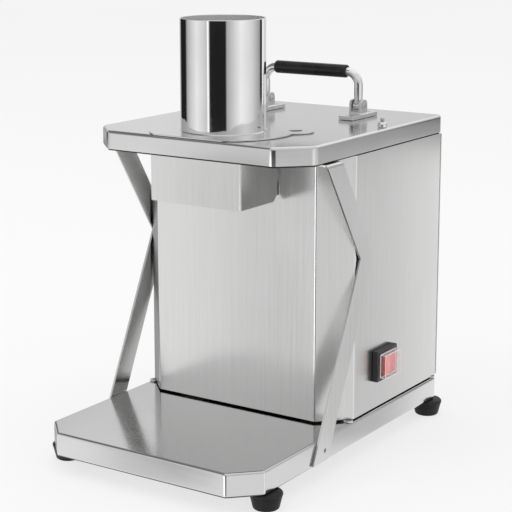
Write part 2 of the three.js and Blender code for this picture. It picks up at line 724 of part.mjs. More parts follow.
// ---- Cutting spindle ------------------------------------------------------------------------

// The flanged barrel that hangs from the deck and holds both bearings.
function bearingHousing() {
  const { radius, bottom, flange, bore } = HOUSING;
  const neck = BEARING.outer - 3;
  const flangeZ = BODY_TOP - flange;
  const upper = BEARING.upperZ - GAP;
  const lower = BEARING.lowerZ + BEARING.width + GAP;
  const barrel = turned([
    [bore, bottom], [radius, bottom], [radius, BODY_TOP], [SEAL_RADIUS, BODY_TOP],
    [SEAL_RADIUS, BEARING.upperZ + BEARING.width + GAP],
    [bore, BEARING.upperZ + BEARING.width + GAP], [bore, upper], [neck, upper],
    [neck, lower], [bore, lower], [bore, bottom],
  ], 24);
  const plate = cut(
    block(-42, 42, -12, 46, flangeZ, BODY_TOP),
    rod(radius - 1, flangeZ - 1, BODY_TOP + 1, 24),
  );
  const trim = block(-30, 30, -40, -19.8, bottom - 1, BODY_TOP + 1);
  return cut(join(barrel, plate), trim);
}

function bearing() {
  const { inner, outer, width } = BEARING;
  return turned([
    [inner, 0], [inner + 3, 0], [inner + 3, 0.8], [outer - 3, 0.8], [outer - 3, 0], [outer, 0],
    [outer, width], [outer - 3, width], [outer - 3, width - 0.8], [inner + 3, width - 0.8],
    [inner + 3, width], [inner, width], [inner, 0],
  ], 16);
}

function spindle() {
  return turned([
    [0, 216], [SHAFT_RADIUS, 216], [SHAFT_RADIUS, 337.8], [12, 337.8],
    [12, BLADE.bottom - GAP], [BLADE.bore - GAP, BLADE.bottom - GAP], [BLADE.bore - GAP, 352],
    [BLADE.bore - 1.2, 353], [0, 353],
  ], 16);
}

// A crescent knife on a round hub, level with the underside of the dicing grid.
function slicingBlade() {
  const z0 = BLADE.bottom;
  const z1 = z0 + BLADE.thickness;
  const wing = new THREE.Shape();
  wing.moveTo(0, -14);
  wing.quadraticCurveTo(60, -26, BLADE.reach, -2);
  wing.quadraticCurveTo(BLADE.reach + 1, 14, BLADE.reach - 8, 26);
  wing.quadraticCurveTo(58, 6, 0, 16);
  wing.closePath();
  const balance = polygon([[4, -10], [-34, -9], [-34, 9], [4, 10]]);
  return cut(
    join(slab(wing, z0, z1, 8), slab(balance, z0, z1), rod(BLADE.hub, z0, z1)),
    rod(BLADE.bore, z0 - 1, z1 + 1, 16),
  );
}

function bladeNut() {
  const z0 = BLADE.bottom + BLADE.thickness + GAP;
  return cut(
    join(rod(9.8, z0, z0 + 7, 6), rod(11, z0, z0 + 1.2, 16)),
    rod(BLADE.bore, z0 - 1, z0 + 8, 16),
  );
}

// A flat-belt pulley between two rims.
function pulley(radius, bore) {
  const { bottom, top, rim } = PULLEY;
  return turned([
    [bore, bottom], [radius + rim, bottom], [radius + rim, bottom + 3], [radius, bottom + 3],
    [radius, top - 3], [radius + rim, top - 3], [radius + rim, top], [bore, top], [bore, bottom],
  ]);
}

// The closed outline that a belt makes round two pulleys, one behind the other along Y.
function beltOutline(frontY, frontRadius, rearY, rearRadius) {
  const lean = Math.asin((frontRadius - rearRadius) / (rearY - frontY));
  const shape = new THREE.Shape();
  shape.absarc(0, frontY, frontRadius, Math.PI - lean, 2 * Math.PI + lean, false);
  shape.absarc(0, rearY, rearRadius, lean, Math.PI - lean, false);
  shape.closePath();
  return shape;
}

function driveBelt() {
  const inner = GAP;
  const outer = inner + BELT.thickness + GAP;
  const { spindleRadius: a, motorRadius: b, bottom, top } = PULLEY;
  const z0 = bottom + BELT.side;
  const z1 = top - BELT.side;
  return cut(
    slab(beltOutline(SPINDLE_Y, a + outer, MOTOR_Y, b + outer), z0, z1, 8),
    slab(beltOutline(SPINDLE_Y, a + inner, MOTOR_Y, b + inner), z0 - 1, z1 + 1, 8),
  );
}

addPart('bearing_housing', bearingHousing(), MATERIAL.castAluminium, 0, SPINDLE_Y);
addPart('bearing_upper', bearing(), MATERIAL.steel, 0, SPINDLE_Y, BEARING.upperZ);
addPart('bearing_lower', bearing(), MATERIAL.steel, 0, SPINDLE_Y, BEARING.lowerZ);
addPart('shaft_seal', ring(BEARING.inner, SEAL_RADIUS - GAP, 330, 337.2, 16),
  MATERIAL.blackRubber, 0, SPINDLE_Y);
addPart('spindle', spindle(), MATERIAL.steel, 0, SPINDLE_Y);
addPart('slicing_blade', slicingBlade(), MATERIAL.satin, 0, SPINDLE_Y);
addPart('blade_nut', bladeNut(), MATERIAL.steel, 0, SPINDLE_Y);
addPart('spindle_pulley', pulley(PULLEY.spindleRadius, SHAFT_RADIUS + GAP),
  MATERIAL.castAluminium, 0, SPINDLE_Y);
addPart('drive_belt', driveBelt(), MATERIAL.blackRubber);

// ---- Motor and electrical parts -------------------------------------------------------------

function motorHousing() {
  const { radius, bottom, top } = MOTOR;
  const bore = MOTOR.shaft + 2;
  return turned([
    [0, bottom], [radius - 8, bottom], [radius, bottom + 8], [radius, top - 8],
    [radius - 8, top - 2], [24, top - 2], [24, top], [bore, top], [bore, bottom + 60],
    [0, bottom + 60],
  ]);
}

function motorShaft() {
  const { shaft, bottom } = MOTOR;
  return turned([[0, bottom + 61], [shaft, bottom + 61], [shaft, PULLEY.top + 4],
    [shaft - 1, PULLEY.top + 5], [0, PULLEY.top + 5]], 16);
}

// A cross plate between the body's sides, with its ends folded down against them.
function motorPlate() {
  const { half, frontY, rearY, z } = MOTOR_PLATE;
  return cut(
    block(-half, half, frontY, rearY, z - 26, z + 3),
    block(-half + 2, half - 2, frontY - 1, rearY + 1, z - 27, z),
    rod(26, z - 1, z + 4).translate(0, MOTOR_Y, 0),
  );
}

addPart('motor_housing', motorHousing(), MATERIAL.darkPaint, 0, MOTOR_Y);
addPart('motor_shaft', motorShaft(), MATERIAL.steel, 0, MOTOR_Y);
addPart('motor_pulley', pulley(PULLEY.motorRadius, MOTOR.shaft + GAP),
  MATERIAL.castAluminium, 0, MOTOR_Y);
addPart('motor_plate', motorPlate(), MATERIAL.steel);
addPart('capacitor', turned([[0, 51], [16, 51], [17, 52], [17, 118], [15, 120], [0, 120]], 16),
  MATERIAL.whitePlastic, CAPACITOR.x, CAPACITOR.y);
addPart('terminal_block', block(-26, 26, -9, 9, 51, 68), MATERIAL.whitePlastic,
  TERMINALS.x, TERMINALS.y);

// ---- Origin ---------------------------------------------------------------------------------

// The footprint's centre, on the floor.
const dicer = new THREE.Group();
machine.updateMatrixWorld(true);
const footprint = new THREE.Box3().setFromObject(machine, true);
const centre = footprint.getCenter(new THREE.Vector3());
machine.position.set(-centre.x, -centre.y, -footprint.min.z);
dicer.add(machine);

export default dicer;
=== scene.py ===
"""An electric vegetable dicer: its looks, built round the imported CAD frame.

Lengths are in millimetres in the frame's own axes, +Z up and the front at -Y, and make_mesh()
turns them into metres. Places and sizes come from the boxes of the CAD nodes.
"""

import math

import bmesh
import bpy
from mathutils import Matrix, Vector
from mathutils.geometry import tessellate_polygon


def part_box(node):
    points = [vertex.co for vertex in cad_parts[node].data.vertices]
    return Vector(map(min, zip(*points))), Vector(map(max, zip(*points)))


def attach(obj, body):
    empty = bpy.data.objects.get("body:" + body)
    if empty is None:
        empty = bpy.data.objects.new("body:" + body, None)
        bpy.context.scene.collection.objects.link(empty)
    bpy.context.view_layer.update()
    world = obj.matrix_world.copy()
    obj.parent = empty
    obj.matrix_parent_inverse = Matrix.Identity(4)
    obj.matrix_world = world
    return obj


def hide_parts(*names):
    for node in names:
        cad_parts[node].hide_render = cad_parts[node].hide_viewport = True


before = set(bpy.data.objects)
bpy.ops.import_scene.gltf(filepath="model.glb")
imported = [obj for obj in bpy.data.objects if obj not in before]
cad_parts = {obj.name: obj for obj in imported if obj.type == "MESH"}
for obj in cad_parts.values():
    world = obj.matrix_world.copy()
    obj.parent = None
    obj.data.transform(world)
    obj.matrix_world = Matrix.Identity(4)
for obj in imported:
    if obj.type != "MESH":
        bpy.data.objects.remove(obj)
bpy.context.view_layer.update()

MM = 0.001
ROOT = "machine"

# ---- Sizes that the boxes don't give -----------------------------------------------------------

SHEET = 1.5
THIN_SHEET = 1.2
BASE_BEND = 3.0
BASE_CORNER = 4.5
PLATE_BEND = 3.4
PLATE_CORNER = 11
BODY_BEND = 2.4
BODY_CORNER = 3.2
BASE_CHAMFER = 28
PLATE_CHAMFER = 31
BODY_CHAMFER = 30.8
REAR_RADIUS = 6
BASE_LIP = 34
REAR_FLANGE = 13
TUBE_WALL = 1.5
GRID_PITCH = 15.5
SIDES = (("left", -1), ("right", 1))


def box(node):
    """The lowest and highest corner of a CAD node, in millimetres."""
    low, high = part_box(node)
    return low / MM, high / MM


def spans(node):
    """The lowest corner, the highest corner and the middle of a CAD node."""
    low, high = box(node)
    return low, high, (low + high) / 2


def middle(node):
    return spans(node)[2]


# ---- Outlines ----------------------------------------------------------------------------------


def vec(points):
    return [Vector(p) for p in points]


def meet(p, along_p, q, along_q):
    """Where two lines in a plane cross, or the second line's point if they are parallel."""
    cross = along_p.x * along_q.y - along_p.y * along_q.x
    if abs(cross) < 1e-9:
        return q.copy()
    gap = q - p
    return p + along_p * ((gap.x * along_q.y - gap.y * along_q.x) / cross)


def left_of(direction):
    return Vector((-direction.y, direction.x))


def turned(v, angle):
    c, s = math.cos(angle), math.sin(angle)
    return Vector((v.x * c - v.y * s, v.x * s + v.y * c))


def on_circle(centre, radius, angle):
    return Vector((centre.x + radius * math.cos(angle), centre.y + radius * math.sin(angle)))


def arc(centre, radius, start, stop, steps):
    """Points along an arc, both ends included."""
    return [on_circle(centre, radius, start + (stop - start) * k / steps) for k in range(steps + 1)]


def corner_arc(corner, before, after, radius, steps):
    """The points that round a corner between two directions."""
    turn = math.atan2(before.x * after.y - before.y * after.x, before.dot(after))
    if radius <= 0 or abs(turn) < 1e-6:
        return [corner]
    side = 1 if turn > 0 else -1
    start = corner - before * (radius * math.tan(abs(turn) / 2))
    centre = start + left_of(before) * (side * radius)
    return [centre + turned(start - centre, turn * k / steps) for k in range(steps + 1)]


LEAST_RADIUS = 0.004


def shrunk(radius, inset, turn_side):
    """A corner's radius after the outline moved inwards; a sharp corner stays sharp."""
    return max(radius - turn_side * inset, LEAST_RADIUS) if radius else 0


def outline(points, radii, inset=0.0, steps=5):
    """A closed counter-clockwise outline, moved inwards by inset, its corners rounded."""
    count = len(points)
    edges = []
    for i, a in enumerate(points):
        along = (points[(i + 1) % count] - a).normalized()
        edges.append((a + left_of(along) * inset, along))
    made = []
    for i in range(count):
        before, after = edges[i - 1], edges[i]
        corner = meet(*before, *after)
        bend = before[1].x * after[1].y - before[1].y * after[1].x
        radius = shrunk(radii[i], inset, 1 if bend > 0 else -1)
        made.extend(corner_arc(corner, before[1], after[1], radius, steps))
    return made


def bent_line(points, radii, shift=0.0, steps=5):
    """An open path moved to its left by shift, its corners rounded."""
    edges = []
    for a, b in zip(points, points[1:]):
        along = (b - a).normalized()
        edges.append((a + left_of(along) * shift, along))
    made = [edges[0][0]]
    for i in range(1, len(edges)):
        before, after = edges[i - 1], edges[i]
        bend = before[1].x * after[1].y - before[1].y * after[1].x
        radius = shrunk(radii[i], shift, 1 if bend > 0 else -1)
        made.extend(corner_arc(meet(*before, *after), before[1], after[1], radius, steps))
    made.append(points[-1] + left_of(edges[-1][1]) * shift)
    return made


def sheet_section(points, radii, thickness, steps=5):
    """The closed section of a bent sheet, whose thickness lies to the left of the path."""
    return bent_line(points, radii, 0, steps) + bent_line(points, radii, thickness, steps)[::-1]


def chamfered(low, high, chamfer):
    """A plate's corners, counter-clockwise: the two front ones are cut off."""
    return vec([
        (low.x + chamfer, low.y), (high.x - chamfer, low.y), (high.x, low.y + chamfer),
        (high.x, high.y), (low.x, high.y), (low.x, low.y + chamfer),
    ])


def rectangle(low_x, high_x, low_y, high_y):
    return vec([(low_x, low_y), (high_x, low_y), (high_x, high_y), (low_x, high_y)])


def rounded(points, radii, steps=5):
    """An outline function: corners with their radii, or with one radius for all."""
    each = radii if isinstance(radii, list) else [radii] * len(points)
    return lambda inset=0.0: outline(points, each, inset, steps)


def circle(x, y, radius, steps=48):
    """An outline function: the circle shrinks by inset."""
    centre = Vector((x, y))

    def at(inset=0.0):
        return [on_circle(centre, radius - inset, 2 * math.pi * k / steps) for k in range(steps)]
    return at


def slot_outline(x, y, half_length, radius, steps=8):
    """An outline function: a straight slot with round ends, along X."""
    def at(inset=0.0):
        r = radius - inset
        made = []
        for side in (1, -1):
            start = -side * math.pi / 2
            made += arc(Vector((x + side * half_length, y)), r, start, start + math.pi, steps)
        return made
    return at


def edge_levels(bottom, top, radius, steps=3):
    """(inset, height) levels of a plate whose two edges are rounded."""
    lower = [(radius - radius * math.sin(math.radians(90 * k / steps)),
              bottom + radius - radius * math.cos(math.radians(90 * k / steps)))
             for k in range(steps + 1)]
    upper = [(inset, bottom + top - height) for inset, height in lower[::-1]]
    return lower + upper


# ---- Solids ------------------------------------------------------------------------------------


class Solid:
    """Points and faces, gathered before they become one mesh."""

    def __init__(self):
        self.points = []
        self.faces = []

    def loop(self, points):
        first = len(self.points)
        self.points.extend(Vector(p) for p in points)
        return list(range(first, len(self.points)))

    def band(self, a, b):
        """Quads between two closed loops of the same length."""
        for i in range(len(a)):
            j = (i + 1) % len(a)
            self.faces.append((a[i], a[j], b[j], b[i]))

    def skin(self, loops, capped=True):
        """Bands from each loop to the next, and a cap on the first and the last."""
        for a, b in zip(loops, loops[1:]):
            self.band(a, b)
        if capped:
            self.cap(loops[0])
            self.cap(loops[-1])
        return self

    def cap(self, outer, *holes):
        if not holes:
            self.faces.append(tuple(outer))
            return
        loops = [outer, *holes]
        flat = [i for loop in loops for i in loop]
        shapes = [[self.points[i] for i in loop] for loop in loops]
        for triangle in tessellate_polygon(shapes):
            self.faces.append(tuple(flat[i] for i in triangle))

    def add(self, other, matrix=None):
        first = len(self.points)
        matrix = matrix or Matrix.Identity(4)
        self.points.extend(matrix @ p for p in other.points)
        self.faces.extend(tuple(first + i for i in face) for face in other.faces)
        return self

    def placed(self, matrix):
        return Solid().add(self, matrix)


def joined(*solids):
    made = Solid()
    for solid in solids:
        made.add(solid)
    return made


def at_height(points, z):
    return [(p.x, p.y, z) for p in points]


def raised(shape, levels, holes=()):
    """An outline function raised through (inset, height) levels, with holes right through.
    A hole is an outline function, or a list of (outline points, height) from bottom to top."""
    solid = Solid()
    loops = [solid.loop(at_height(shape(inset), z)) for inset, z in levels]
    solid.skin(loops, capped=False)
    ends = [[loops[0]], [loops[-1]]]
    for hole in holes:
        if callable(hole):
            stages = [(hole(-inset), z) for inset, z in levels]
        else:
            stages = hole
        walls = [solid.loop(at_height(points, z)) for points, z in stages]
        solid.skin(walls, capped=False)
        ends[0].append(walls[0])
        ends[1].append(walls[-1])
    for loops in ends:
        solid.cap(*loops)
    return solid


def straight(section, bottom, top):
    """A section that stays the same from bottom to top."""
    return raised(lambda inset: section, [(0, bottom), (0, top)])


def plate(shape, bottom, top, edge=0.3, holes=(), steps=3):
    return raised(shape, edge_levels(bottom, top, edge, steps), holes)


def lathe(profile, steps=64):
    """A solid of revolution about Z, from (radius, height) points. It closes itself."""
    solid = Solid()
    loops = []
    for radius, z in profile:
        loops.append(solid.loop(at_height(circle(0, 0, max(radius, 0), steps)(), z)))
    solid.skin(loops, capped=False)
    if profile[0][0] > 0:
        solid.band(loops[-1], loops[0])
    return solid


def soft_profile(points, radii, steps=4):
    """A turned profile with its corners rounded; its ends stay where they are."""
    return [(p.x, p.y) for p in bent_line(vec(points), radii, 0, steps)]


def soft_ring(points, radii, steps=3):
    """A closed turned profile, counter-clockwise, with every corner rounded."""
    return [(p.x, p.y) for p in rounded(vec(points), radii, steps)()]


def swept(path, radius, around=24):
    """A round bar along a path that lies in a plane of constant Y."""
    solid = Solid()
    loops = []
    across = Vector((0, 1, 0))
    for i, centre in enumerate(path):
        ahead = path[min(i + 1, len(path) - 1)] - path[max(i - 1, 0)]
        side = across.cross(ahead.normalized())
        loops.append(solid.loop([
            centre + (across * math.cos(a) + side * math.sin(a)) * radius
            for a in (2 * math.pi * k / around for k in range(around))
        ]))
    return solid.skin(loops)


def ribbon(stations, thickness, edge):
    """A bent strip. Each station is its front point and rear point on the outer face, and the
    direction of its thickness."""
    solid = Solid()
    loops = []
    for front, rear, inward in stations:
        width = (rear - front).length
        along = (rear - front).normalized()
        section = outline(
            rectangle(0, width, 0, thickness), [edge] * 4, 0, 3,
        )
        loops.append(solid.loop([front + along * p.x + inward * p.y for p in section]))
    return solid.skin(loops)


def along_x(solid, x=0.0, y=0.0, z=0.0):
    """Turns what was built along Z to lie along X."""
    return solid.placed(Matrix.Translation((x, y, z)) @ Matrix.Rotation(math.pi / 2, 4, "Y"))


def along_y(solid, x=0.0, y=0.0, z=0.0):
    """Turns what was built along Z to lie along Y, its top to the rear."""
    return solid.placed(Matrix.Translation((x, y, z)) @ Matrix.Rotation(-math.pi / 2, 4, "X"))


def moved(solid, x=0.0, y=0.0, z=0.0):
    return solid.placed(Matrix.Translation((x, y, z)))


def upright_x(solid):
    """Turns a shape drawn in X and Y, and raised along Z, into one in Y and Z, raised along X."""
    return solid.placed(Matrix(((0, 0, 1, 0), (1, 0, 0, 0), (0, 1, 0, 0), (0, 0, 0, 1))))


def upright_y(solid):
    """Turns a shape drawn in X and Y, and raised along Z, into one in X and Z, raised along -Y."""
    return solid.placed(Matrix(((1, 0, 0, 0), (0, 0, -1, 0), (0, 1, 0, 0), (0, 0, 0, 1))))


def block(low, high, edge=0.3):
    shape = rectangle(low[0], high[0], low[1], high[1])
    return plate(rounded(shape, 0), low[2], high[2], edge)


# ---- From a solid to a piece -------------------------------------------------------------------

# In metres: points closer than this become one
MERGE_DISTANCE = 1.2e-5
# In degrees: edges that turn by more are bevelled, or shaded sharp
BEVEL_ANGLE = 40
SHARP_ANGLE = 32


def make_mesh(name, solid):
    mesh = bpy.data.meshes.new(name)
    mesh.from_pydata([p * MM for p in solid.points], [], solid.faces)
    work = bmesh.new()
    work.from_mesh(mesh)
    tidy(work)
    work.to_mesh(mesh)
    work.free()
    return mesh


def tidy(work):
    bmesh.ops.remove_doubles(work, verts=work.verts, dist=MERGE_DISTANCE)
    bmesh.ops.dissolve_degenerate(work, edges=work.edges, dist=1e-7)
    bmesh.ops.recalc_face_normals(work, faces=work.faces)


def new_object(name, mesh):
    obj = bpy.data.objects.new(name, mesh)
    bpy.context.scene.collection.objects.link(obj)
    return obj


def carved(mesh, *cutters):
    """The mesh with each solid cut out of it."""
    body = new_object("carved", mesh)
    tools = []
    for cutter in cutters:
        tool = new_object("cutter", make_mesh("cutter", cutter))
        change = body.modifiers.new("cut", "BOOLEAN")
        change.operation = "DIFFERENCE"
        change.solver = "EXACT"
        change.object = tool
        tools.append(tool)
    graph = bpy.context.evaluated_depsgraph_get()
    made = bpy.data.meshes.new_from_object(body.evaluated_get(graph))
    for obj in [body, *tools]:
        bpy.data.objects.remove(obj)
    return made


def piece(name, shape, slot, body=ROOT, stands_for=None, bevel=0.0, look=None):
    """Makes a solid or a mesh into a named piece with a finish, riding on a body."""
    mesh = make_mesh(name, shape) if isinstance(shape, Solid) else shape
    mesh.name = name
    mesh.materials.clear()
    mesh.materials.append(look or LOOKS[slot])
    mesh.polygons.foreach_set("use_smooth", [True] * len(mesh.polygons))
    obj = new_object(name, mesh)
    if bevel:
        change = obj.modifiers.new("edges", "BEVEL")
        change.width = bevel * MM
        change.segments = 2
        change.limit_method = "ANGLE"
        change.angle_limit = math.radians(BEVEL_ANGLE)
        change.use_clamp_overlap = True
    mesh.set_sharp_from_angle(angle=math.radians(SHARP_ANGLE))
    change = obj.modifiers.new("normals", "WEIGHTED_NORMAL")
    change.keep_sharp = True
    change.weight = 80
    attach(obj, body)
    if stands_for:
        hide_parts(stands_for)


# ---- Finishes ----------------------------------------------------------------------------------


class Look:
    """A node material round one Principled BSDF, with short ways to feed it."""

    def __init__(self, name, **settings):
        self.material = bpy.data.materials.new(name)
        self.material.use_nodes = True
        self.nodes = self.material.node_tree.nodes
        self.links = self.material.node_tree.links
        self.nodes.clear()
        self.bsdf = self.nodes.new("ShaderNodeBsdfPrincipled")
        self.out = self.nodes.new("ShaderNodeOutputMaterial")
        self.links.new(self.bsdf.outputs[0], self.out.inputs["Surface"])
        self.place = self.nodes.new("ShaderNodeTexCoord").outputs["Object"]
        for key, value in settings.items():
            self.set(key.replace("_", " "), value)

    def set(self, key, value):
        """An input takes a plain value, a colour or another node's output."""
        socket = self.bsdf.inputs[key]
        if isinstance(value, bpy.types.NodeSocket):
            self.links.new(value, socket)
        elif socket.type == "RGBA":
            socket.default_value = (*value, 1.0)
        else:
            socket.default_value = value

    def noise(self, stretch, detail):
        """Noise whose cells have about these sizes in millimetres along X, Y and Z."""
        mapping = self.nodes.new("ShaderNodeMapping")
        mapping.inputs["Scale"].default_value = [1 / (MM * s) for s in stretch]
        self.links.new(self.place, mapping.inputs["Vector"])
        noise = self.nodes.new("ShaderNodeTexNoise")
        noise.inputs["Scale"].default_value = 1.0
        noise.inputs["Detail"].default_value = detail
        self.links.new(mapping.outputs[0], noise.inputs["Vector"])
        return noise.outputs[0]

    def spread(self, value, low, high, start=0.3, end=0.7):
        """The value's range from start to end, spread over low to high."""
        node = self.nodes.new("ShaderNodeMapRange")
        node.inputs["From Min"].default_value = start
        node.inputs["From Max"].default_value = end
        node.inputs["To Min"].default_value = low
        node.inputs["To Max"].default_value = high
        self.links.new(value, node.inputs["Value"])
        return node.outputs[0]

    def math(self, kind, a, b):
        node = self.nodes.new("ShaderNodeMath")
        node.operation = kind
        for socket, value in zip(node.inputs, (a, b)):
            if isinstance(value, bpy.types.NodeSocket):
                self.links.new(value, socket)
            else:
                socket.default_value = value
        return node.outputs[0]

    def tint(self, value, dark, light, start=0.3, end=0.7):
        """A colour between two, by value."""
        ramp = self.nodes.new("ShaderNodeValToRGB")
        ramp.color_ramp.elements[0].position = start
        ramp.color_ramp.elements[1].position = end
        ramp.color_ramp.elements[0].color = (*dark, 1)
        ramp.color_ramp.elements[1].color = (*light, 1)
        self.links.new(value, ramp.inputs[0])
        return ramp.outputs[0]

    def facing_up(self):
        """1 on faces that look up or down, 0 on upright ones."""
        normal = self.nodes.new("ShaderNodeTexCoord").outputs["Normal"]
        parts = self.nodes.new("ShaderNodeSeparateXYZ")
        self.links.new(normal, parts.inputs[0])
        return self.math("ABSOLUTE", parts.outputs[2], 0.0)

    def mixed(self, share, a, b):
        node = self.nodes.new("ShaderNodeMix")
        self.links.new(share, node.inputs[0])
        self.links.new(a, node.inputs[2])
        self.links.new(b, node.inputs[3])
        return node.outputs[0]

    def bump(self, height, depth, strength=1.0):
        """Relief of that depth in millimetres."""
        node = self.nodes.new("ShaderNodeBump")
        node.inputs["Strength"].default_value = strength
        node.inputs["Distance"].default_value = depth * MM
        self.links.new(height, node.inputs["Height"])
        self.links.new(node.outputs[0], self.bsdf.inputs["Normal"])

    def see_through(self, share, colour=(1.0, 1.0, 1.0)):
        """Lets light straight through, all but this share."""
        through = self.nodes.new("ShaderNodeBsdfTransparent")
        through.inputs["Color"].default_value = (*colour, 1)
        mix = self.nodes.new("ShaderNodeMixShader")
        self.links.new(share, mix.inputs[0])
        self.links.new(through.outputs[0], mix.inputs[1])
        self.links.new(self.bsdf.outputs[0], mix.inputs[2])
        self.links.new(mix.outputs[0], self.out.inputs["Surface"])

    def tangent(self):
        """Grain that runs round the Z axis."""
        node = self.nodes.new("ShaderNodeTangent")
        node.direction_type = "RADIAL"
        node.axis = "Z"
        self.links.new(node.outputs[0], self.bsdf.inputs["Tangent"])


def upright_grain():
    """Stainless sheet brushed up and down."""
    look = Look("brushed_stainless", Metallic=1.0)
    fine = look.noise((0.35, 0.35, 60), detail=2)
    broad = look.noise((2.2, 2.2, 220), detail=3)
    cloud = look.noise((70, 70, 110), detail=2)
    grain = look.math("ADD", look.math("MULTIPLY", fine, 0.55), look.math("MULTIPLY", broad, 0.45))
    dark, light = (0.675, 0.675, 0.672), (0.715, 0.715, 0.71)
    look.set("Base Color", look.tint(grain, dark, light, 0.35, 0.65))
    rough = look.spread(grain, 0.19, 0.23)
    look.set("Roughness", look.math("ADD", rough, look.spread(cloud, -0.02, 0.02)))
    look.set("Anisotropic", 0.5)
    look.tangent()
    look.bump(grain, 0.006, 0.3)
    return look.material


def satin_sheet():
    """Stainless sheet with a barely visible grain, and a faint waviness of thin metal."""
    look = Look("satin_stainless", Metallic=1.0)
    level = look.noise((60, 60, 0.35), detail=2)
    across = look.noise((90, 0.5, 40), detail=2)
    grain = look.mixed(look.facing_up(), level, across)
    cloud = look.noise((60, 60, 60), detail=2)
    tone = look.spread(grain, 0.66, 0.69, 0.35, 0.65)
    look.set("Base Color", look.tint(tone, (0, 0, 0), (1, 1, 1), 0, 1))
    rough = look.spread(grain, 0.13, 0.16)
    look.set("Roughness", look.math("ADD", rough, look.spread(cloud, -0.02, 0.02)))
    wave = look.noise((70, 70, 70), detail=1)
    look.bump(look.math("ADD", look.math("MULTIPLY", grain, 0.008), wave), 0.12, 0.25)
    return look.material


def speckled(name, dark, light, rough, cloud, grit=None, relief=None, **settings):
    """A finish whose colour and gloss vary in clouds, with a fine relief of grit or of the clouds
    themselves. Clouds and grit are a size in millimetres and a level of detail, and the relief is
    a depth and a strength."""
    look = Look(name, **settings)
    cells = look.noise([cloud[0]] * 3, cloud[1])
    look.set("Base Color", look.tint(cells, dark, light))
    look.set("Roughness", look.spread(cells, *rough))
    if relief:
        look.bump(look.noise([grit[0]] * 3, grit[1]) if grit else cells, *relief)
    return look.material


def rubber(name, rough):
    return speckled(name, (0.008, 0.008, 0.008), (0.015, 0.015, 0.016), rough, (14, 4), (0.6, 3),
                    (0.02, 0.4), Specular_IOR_Level=0.3)


def moulded(name, dark, light, rough):
    """Moulded plastic with a fine spark-eroded texture."""
    return speckled(name, dark, light, rough, (9, 3), (0.5, 2), (0.02, 0.5))


def mirror_polish():
    """Stainless tube: polished outside with faint lines left along it, duller inside."""
    look = Look("polished_stainless", Metallic=1.0)
    lines = look.noise((0.6, 0.6, 90), detail=2)
    cloud = look.noise((25, 25, 60), detail=2)
    low, high, centre = spans("feed_tube")
    outer = (high.x - low.x) / 2
    parts = look.nodes.new("ShaderNodeSeparateXYZ")
    look.links.new(look.place, parts.inputs[0])
    aside = [look.math("SUBTRACT", parts.outputs[k], centre[k] * MM) for k in (0, 1)]
    squares = [look.math("MULTIPLY", side, side) for side in aside]
    radius = look.math("SQRT", look.math("ADD", *squares), 0)
    outside = look.spread(radius, 0, 1, (outer - TUBE_WALL) * MM + 0.0004, (outer - 0.6) * MM)
    look.set("Base Color", look.tint(cloud, (0.8, 0.8, 0.8), (0.86, 0.86, 0.86)))
    dull, polished = look.spread(lines, 0.42, 0.5), look.spread(lines, 0.05, 0.09)
    look.set("Roughness", look.mixed(outside, dull, polished))
    look.bump(lines, 0.002, 0.25)
    return look.material


def sheet_with_painted_shade_edges():
    """Satin sheet whose upright faces, its edges and the walls of its holes, are painted near
    black: painted shade for the dark gaps round the sheet.
    """
    look = Look("deck_stainless", Metallic=1.0)
    cloud = look.noise((60, 60, 60), detail=2)
    flat = look.spread(look.facing_up(), 0, 1, 0.5, 0.9)
    face = look.spread(cloud, 0.66, 0.7)
    # Near black on upright faces: painted shade, not a tone of the metal.
    edge = look.spread(cloud, 0.03, 0.05)
    look.set("Base Color", look.tint(look.mixed(flat, edge, face), (0, 0, 0), (1, 1, 1), 0, 1))
    edge_roughness, rolled = look.spread(cloud, 0.5, 0.6), look.spread(cloud, 0.14, 0.2)
    look.set("Roughness", look.mixed(flat, edge_roughness, rolled))
    return look.material


def red_rocker():
    """Glossy red plastic that light passes into, with a faint painted glow."""
    look = Look("red_plastic", Subsurface_Weight=0.6, Subsurface_Scale=0.004)
    cloud = look.noise((9, 9, 9), detail=2)
    look.set("Base Color", look.tint(cloud, (0.72, 0.02, 0.015), (0.82, 0.04, 0.03)))
    look.set("Subsurface Radius", (1.0, 0.25, 0.2))
    look.set("Roughness", look.spread(cloud, 0.16, 0.24))
    # A faint red emission: a painted glow, not a lamp.
    look.set("Emission Color", (1.0, 0.06, 0.04))
    look.set("Emission Strength", 0.04)
    look.set("Specular IOR Level", 0.3)
    return look.material


def clear_boot():
    """Clear flexible cover: what is behind shows through, edge-on it turns milky."""
    look = Look("clear_boot", Roughness=0.08, IOR=1.45)
    cloud = look.noise((5, 5, 5), detail=2)
    look.set("Base Color", look.tint(cloud, (0.93, 0.93, 0.94), (0.99, 0.99, 1.0)))
    edge = look.nodes.new("ShaderNodeLayerWeight")
    edge.inputs["Blend"].default_value = 0.3
    share = look.spread(edge.outputs["Facing"], 0.03, 0.4, 0.0, 1.0)
    look.see_through(share, (0.97, 0.95, 0.95))
    return look.material


def milky_bead():
    """The thicker, paler moulded edges of the clear cover; a faint emission on them is a painted
    highlight.
    """
    look = Look("boot_bead", Roughness=0.15, IOR=1.45)
    cloud = look.noise((4, 4, 4), detail=2)
    look.set("Base Color", look.tint(cloud, (0.86, 0.82, 0.82), (0.95, 0.92, 0.92)))
    # A faint pinkish emission: a painted highlight that brightens the edges.
    look.set("Emission Color", (1.0, 0.9, 0.9))
    look.set("Emission Strength", 0.06)
    look.see_through(look.spread(cloud, 0.5, 0.62))
    return look.material


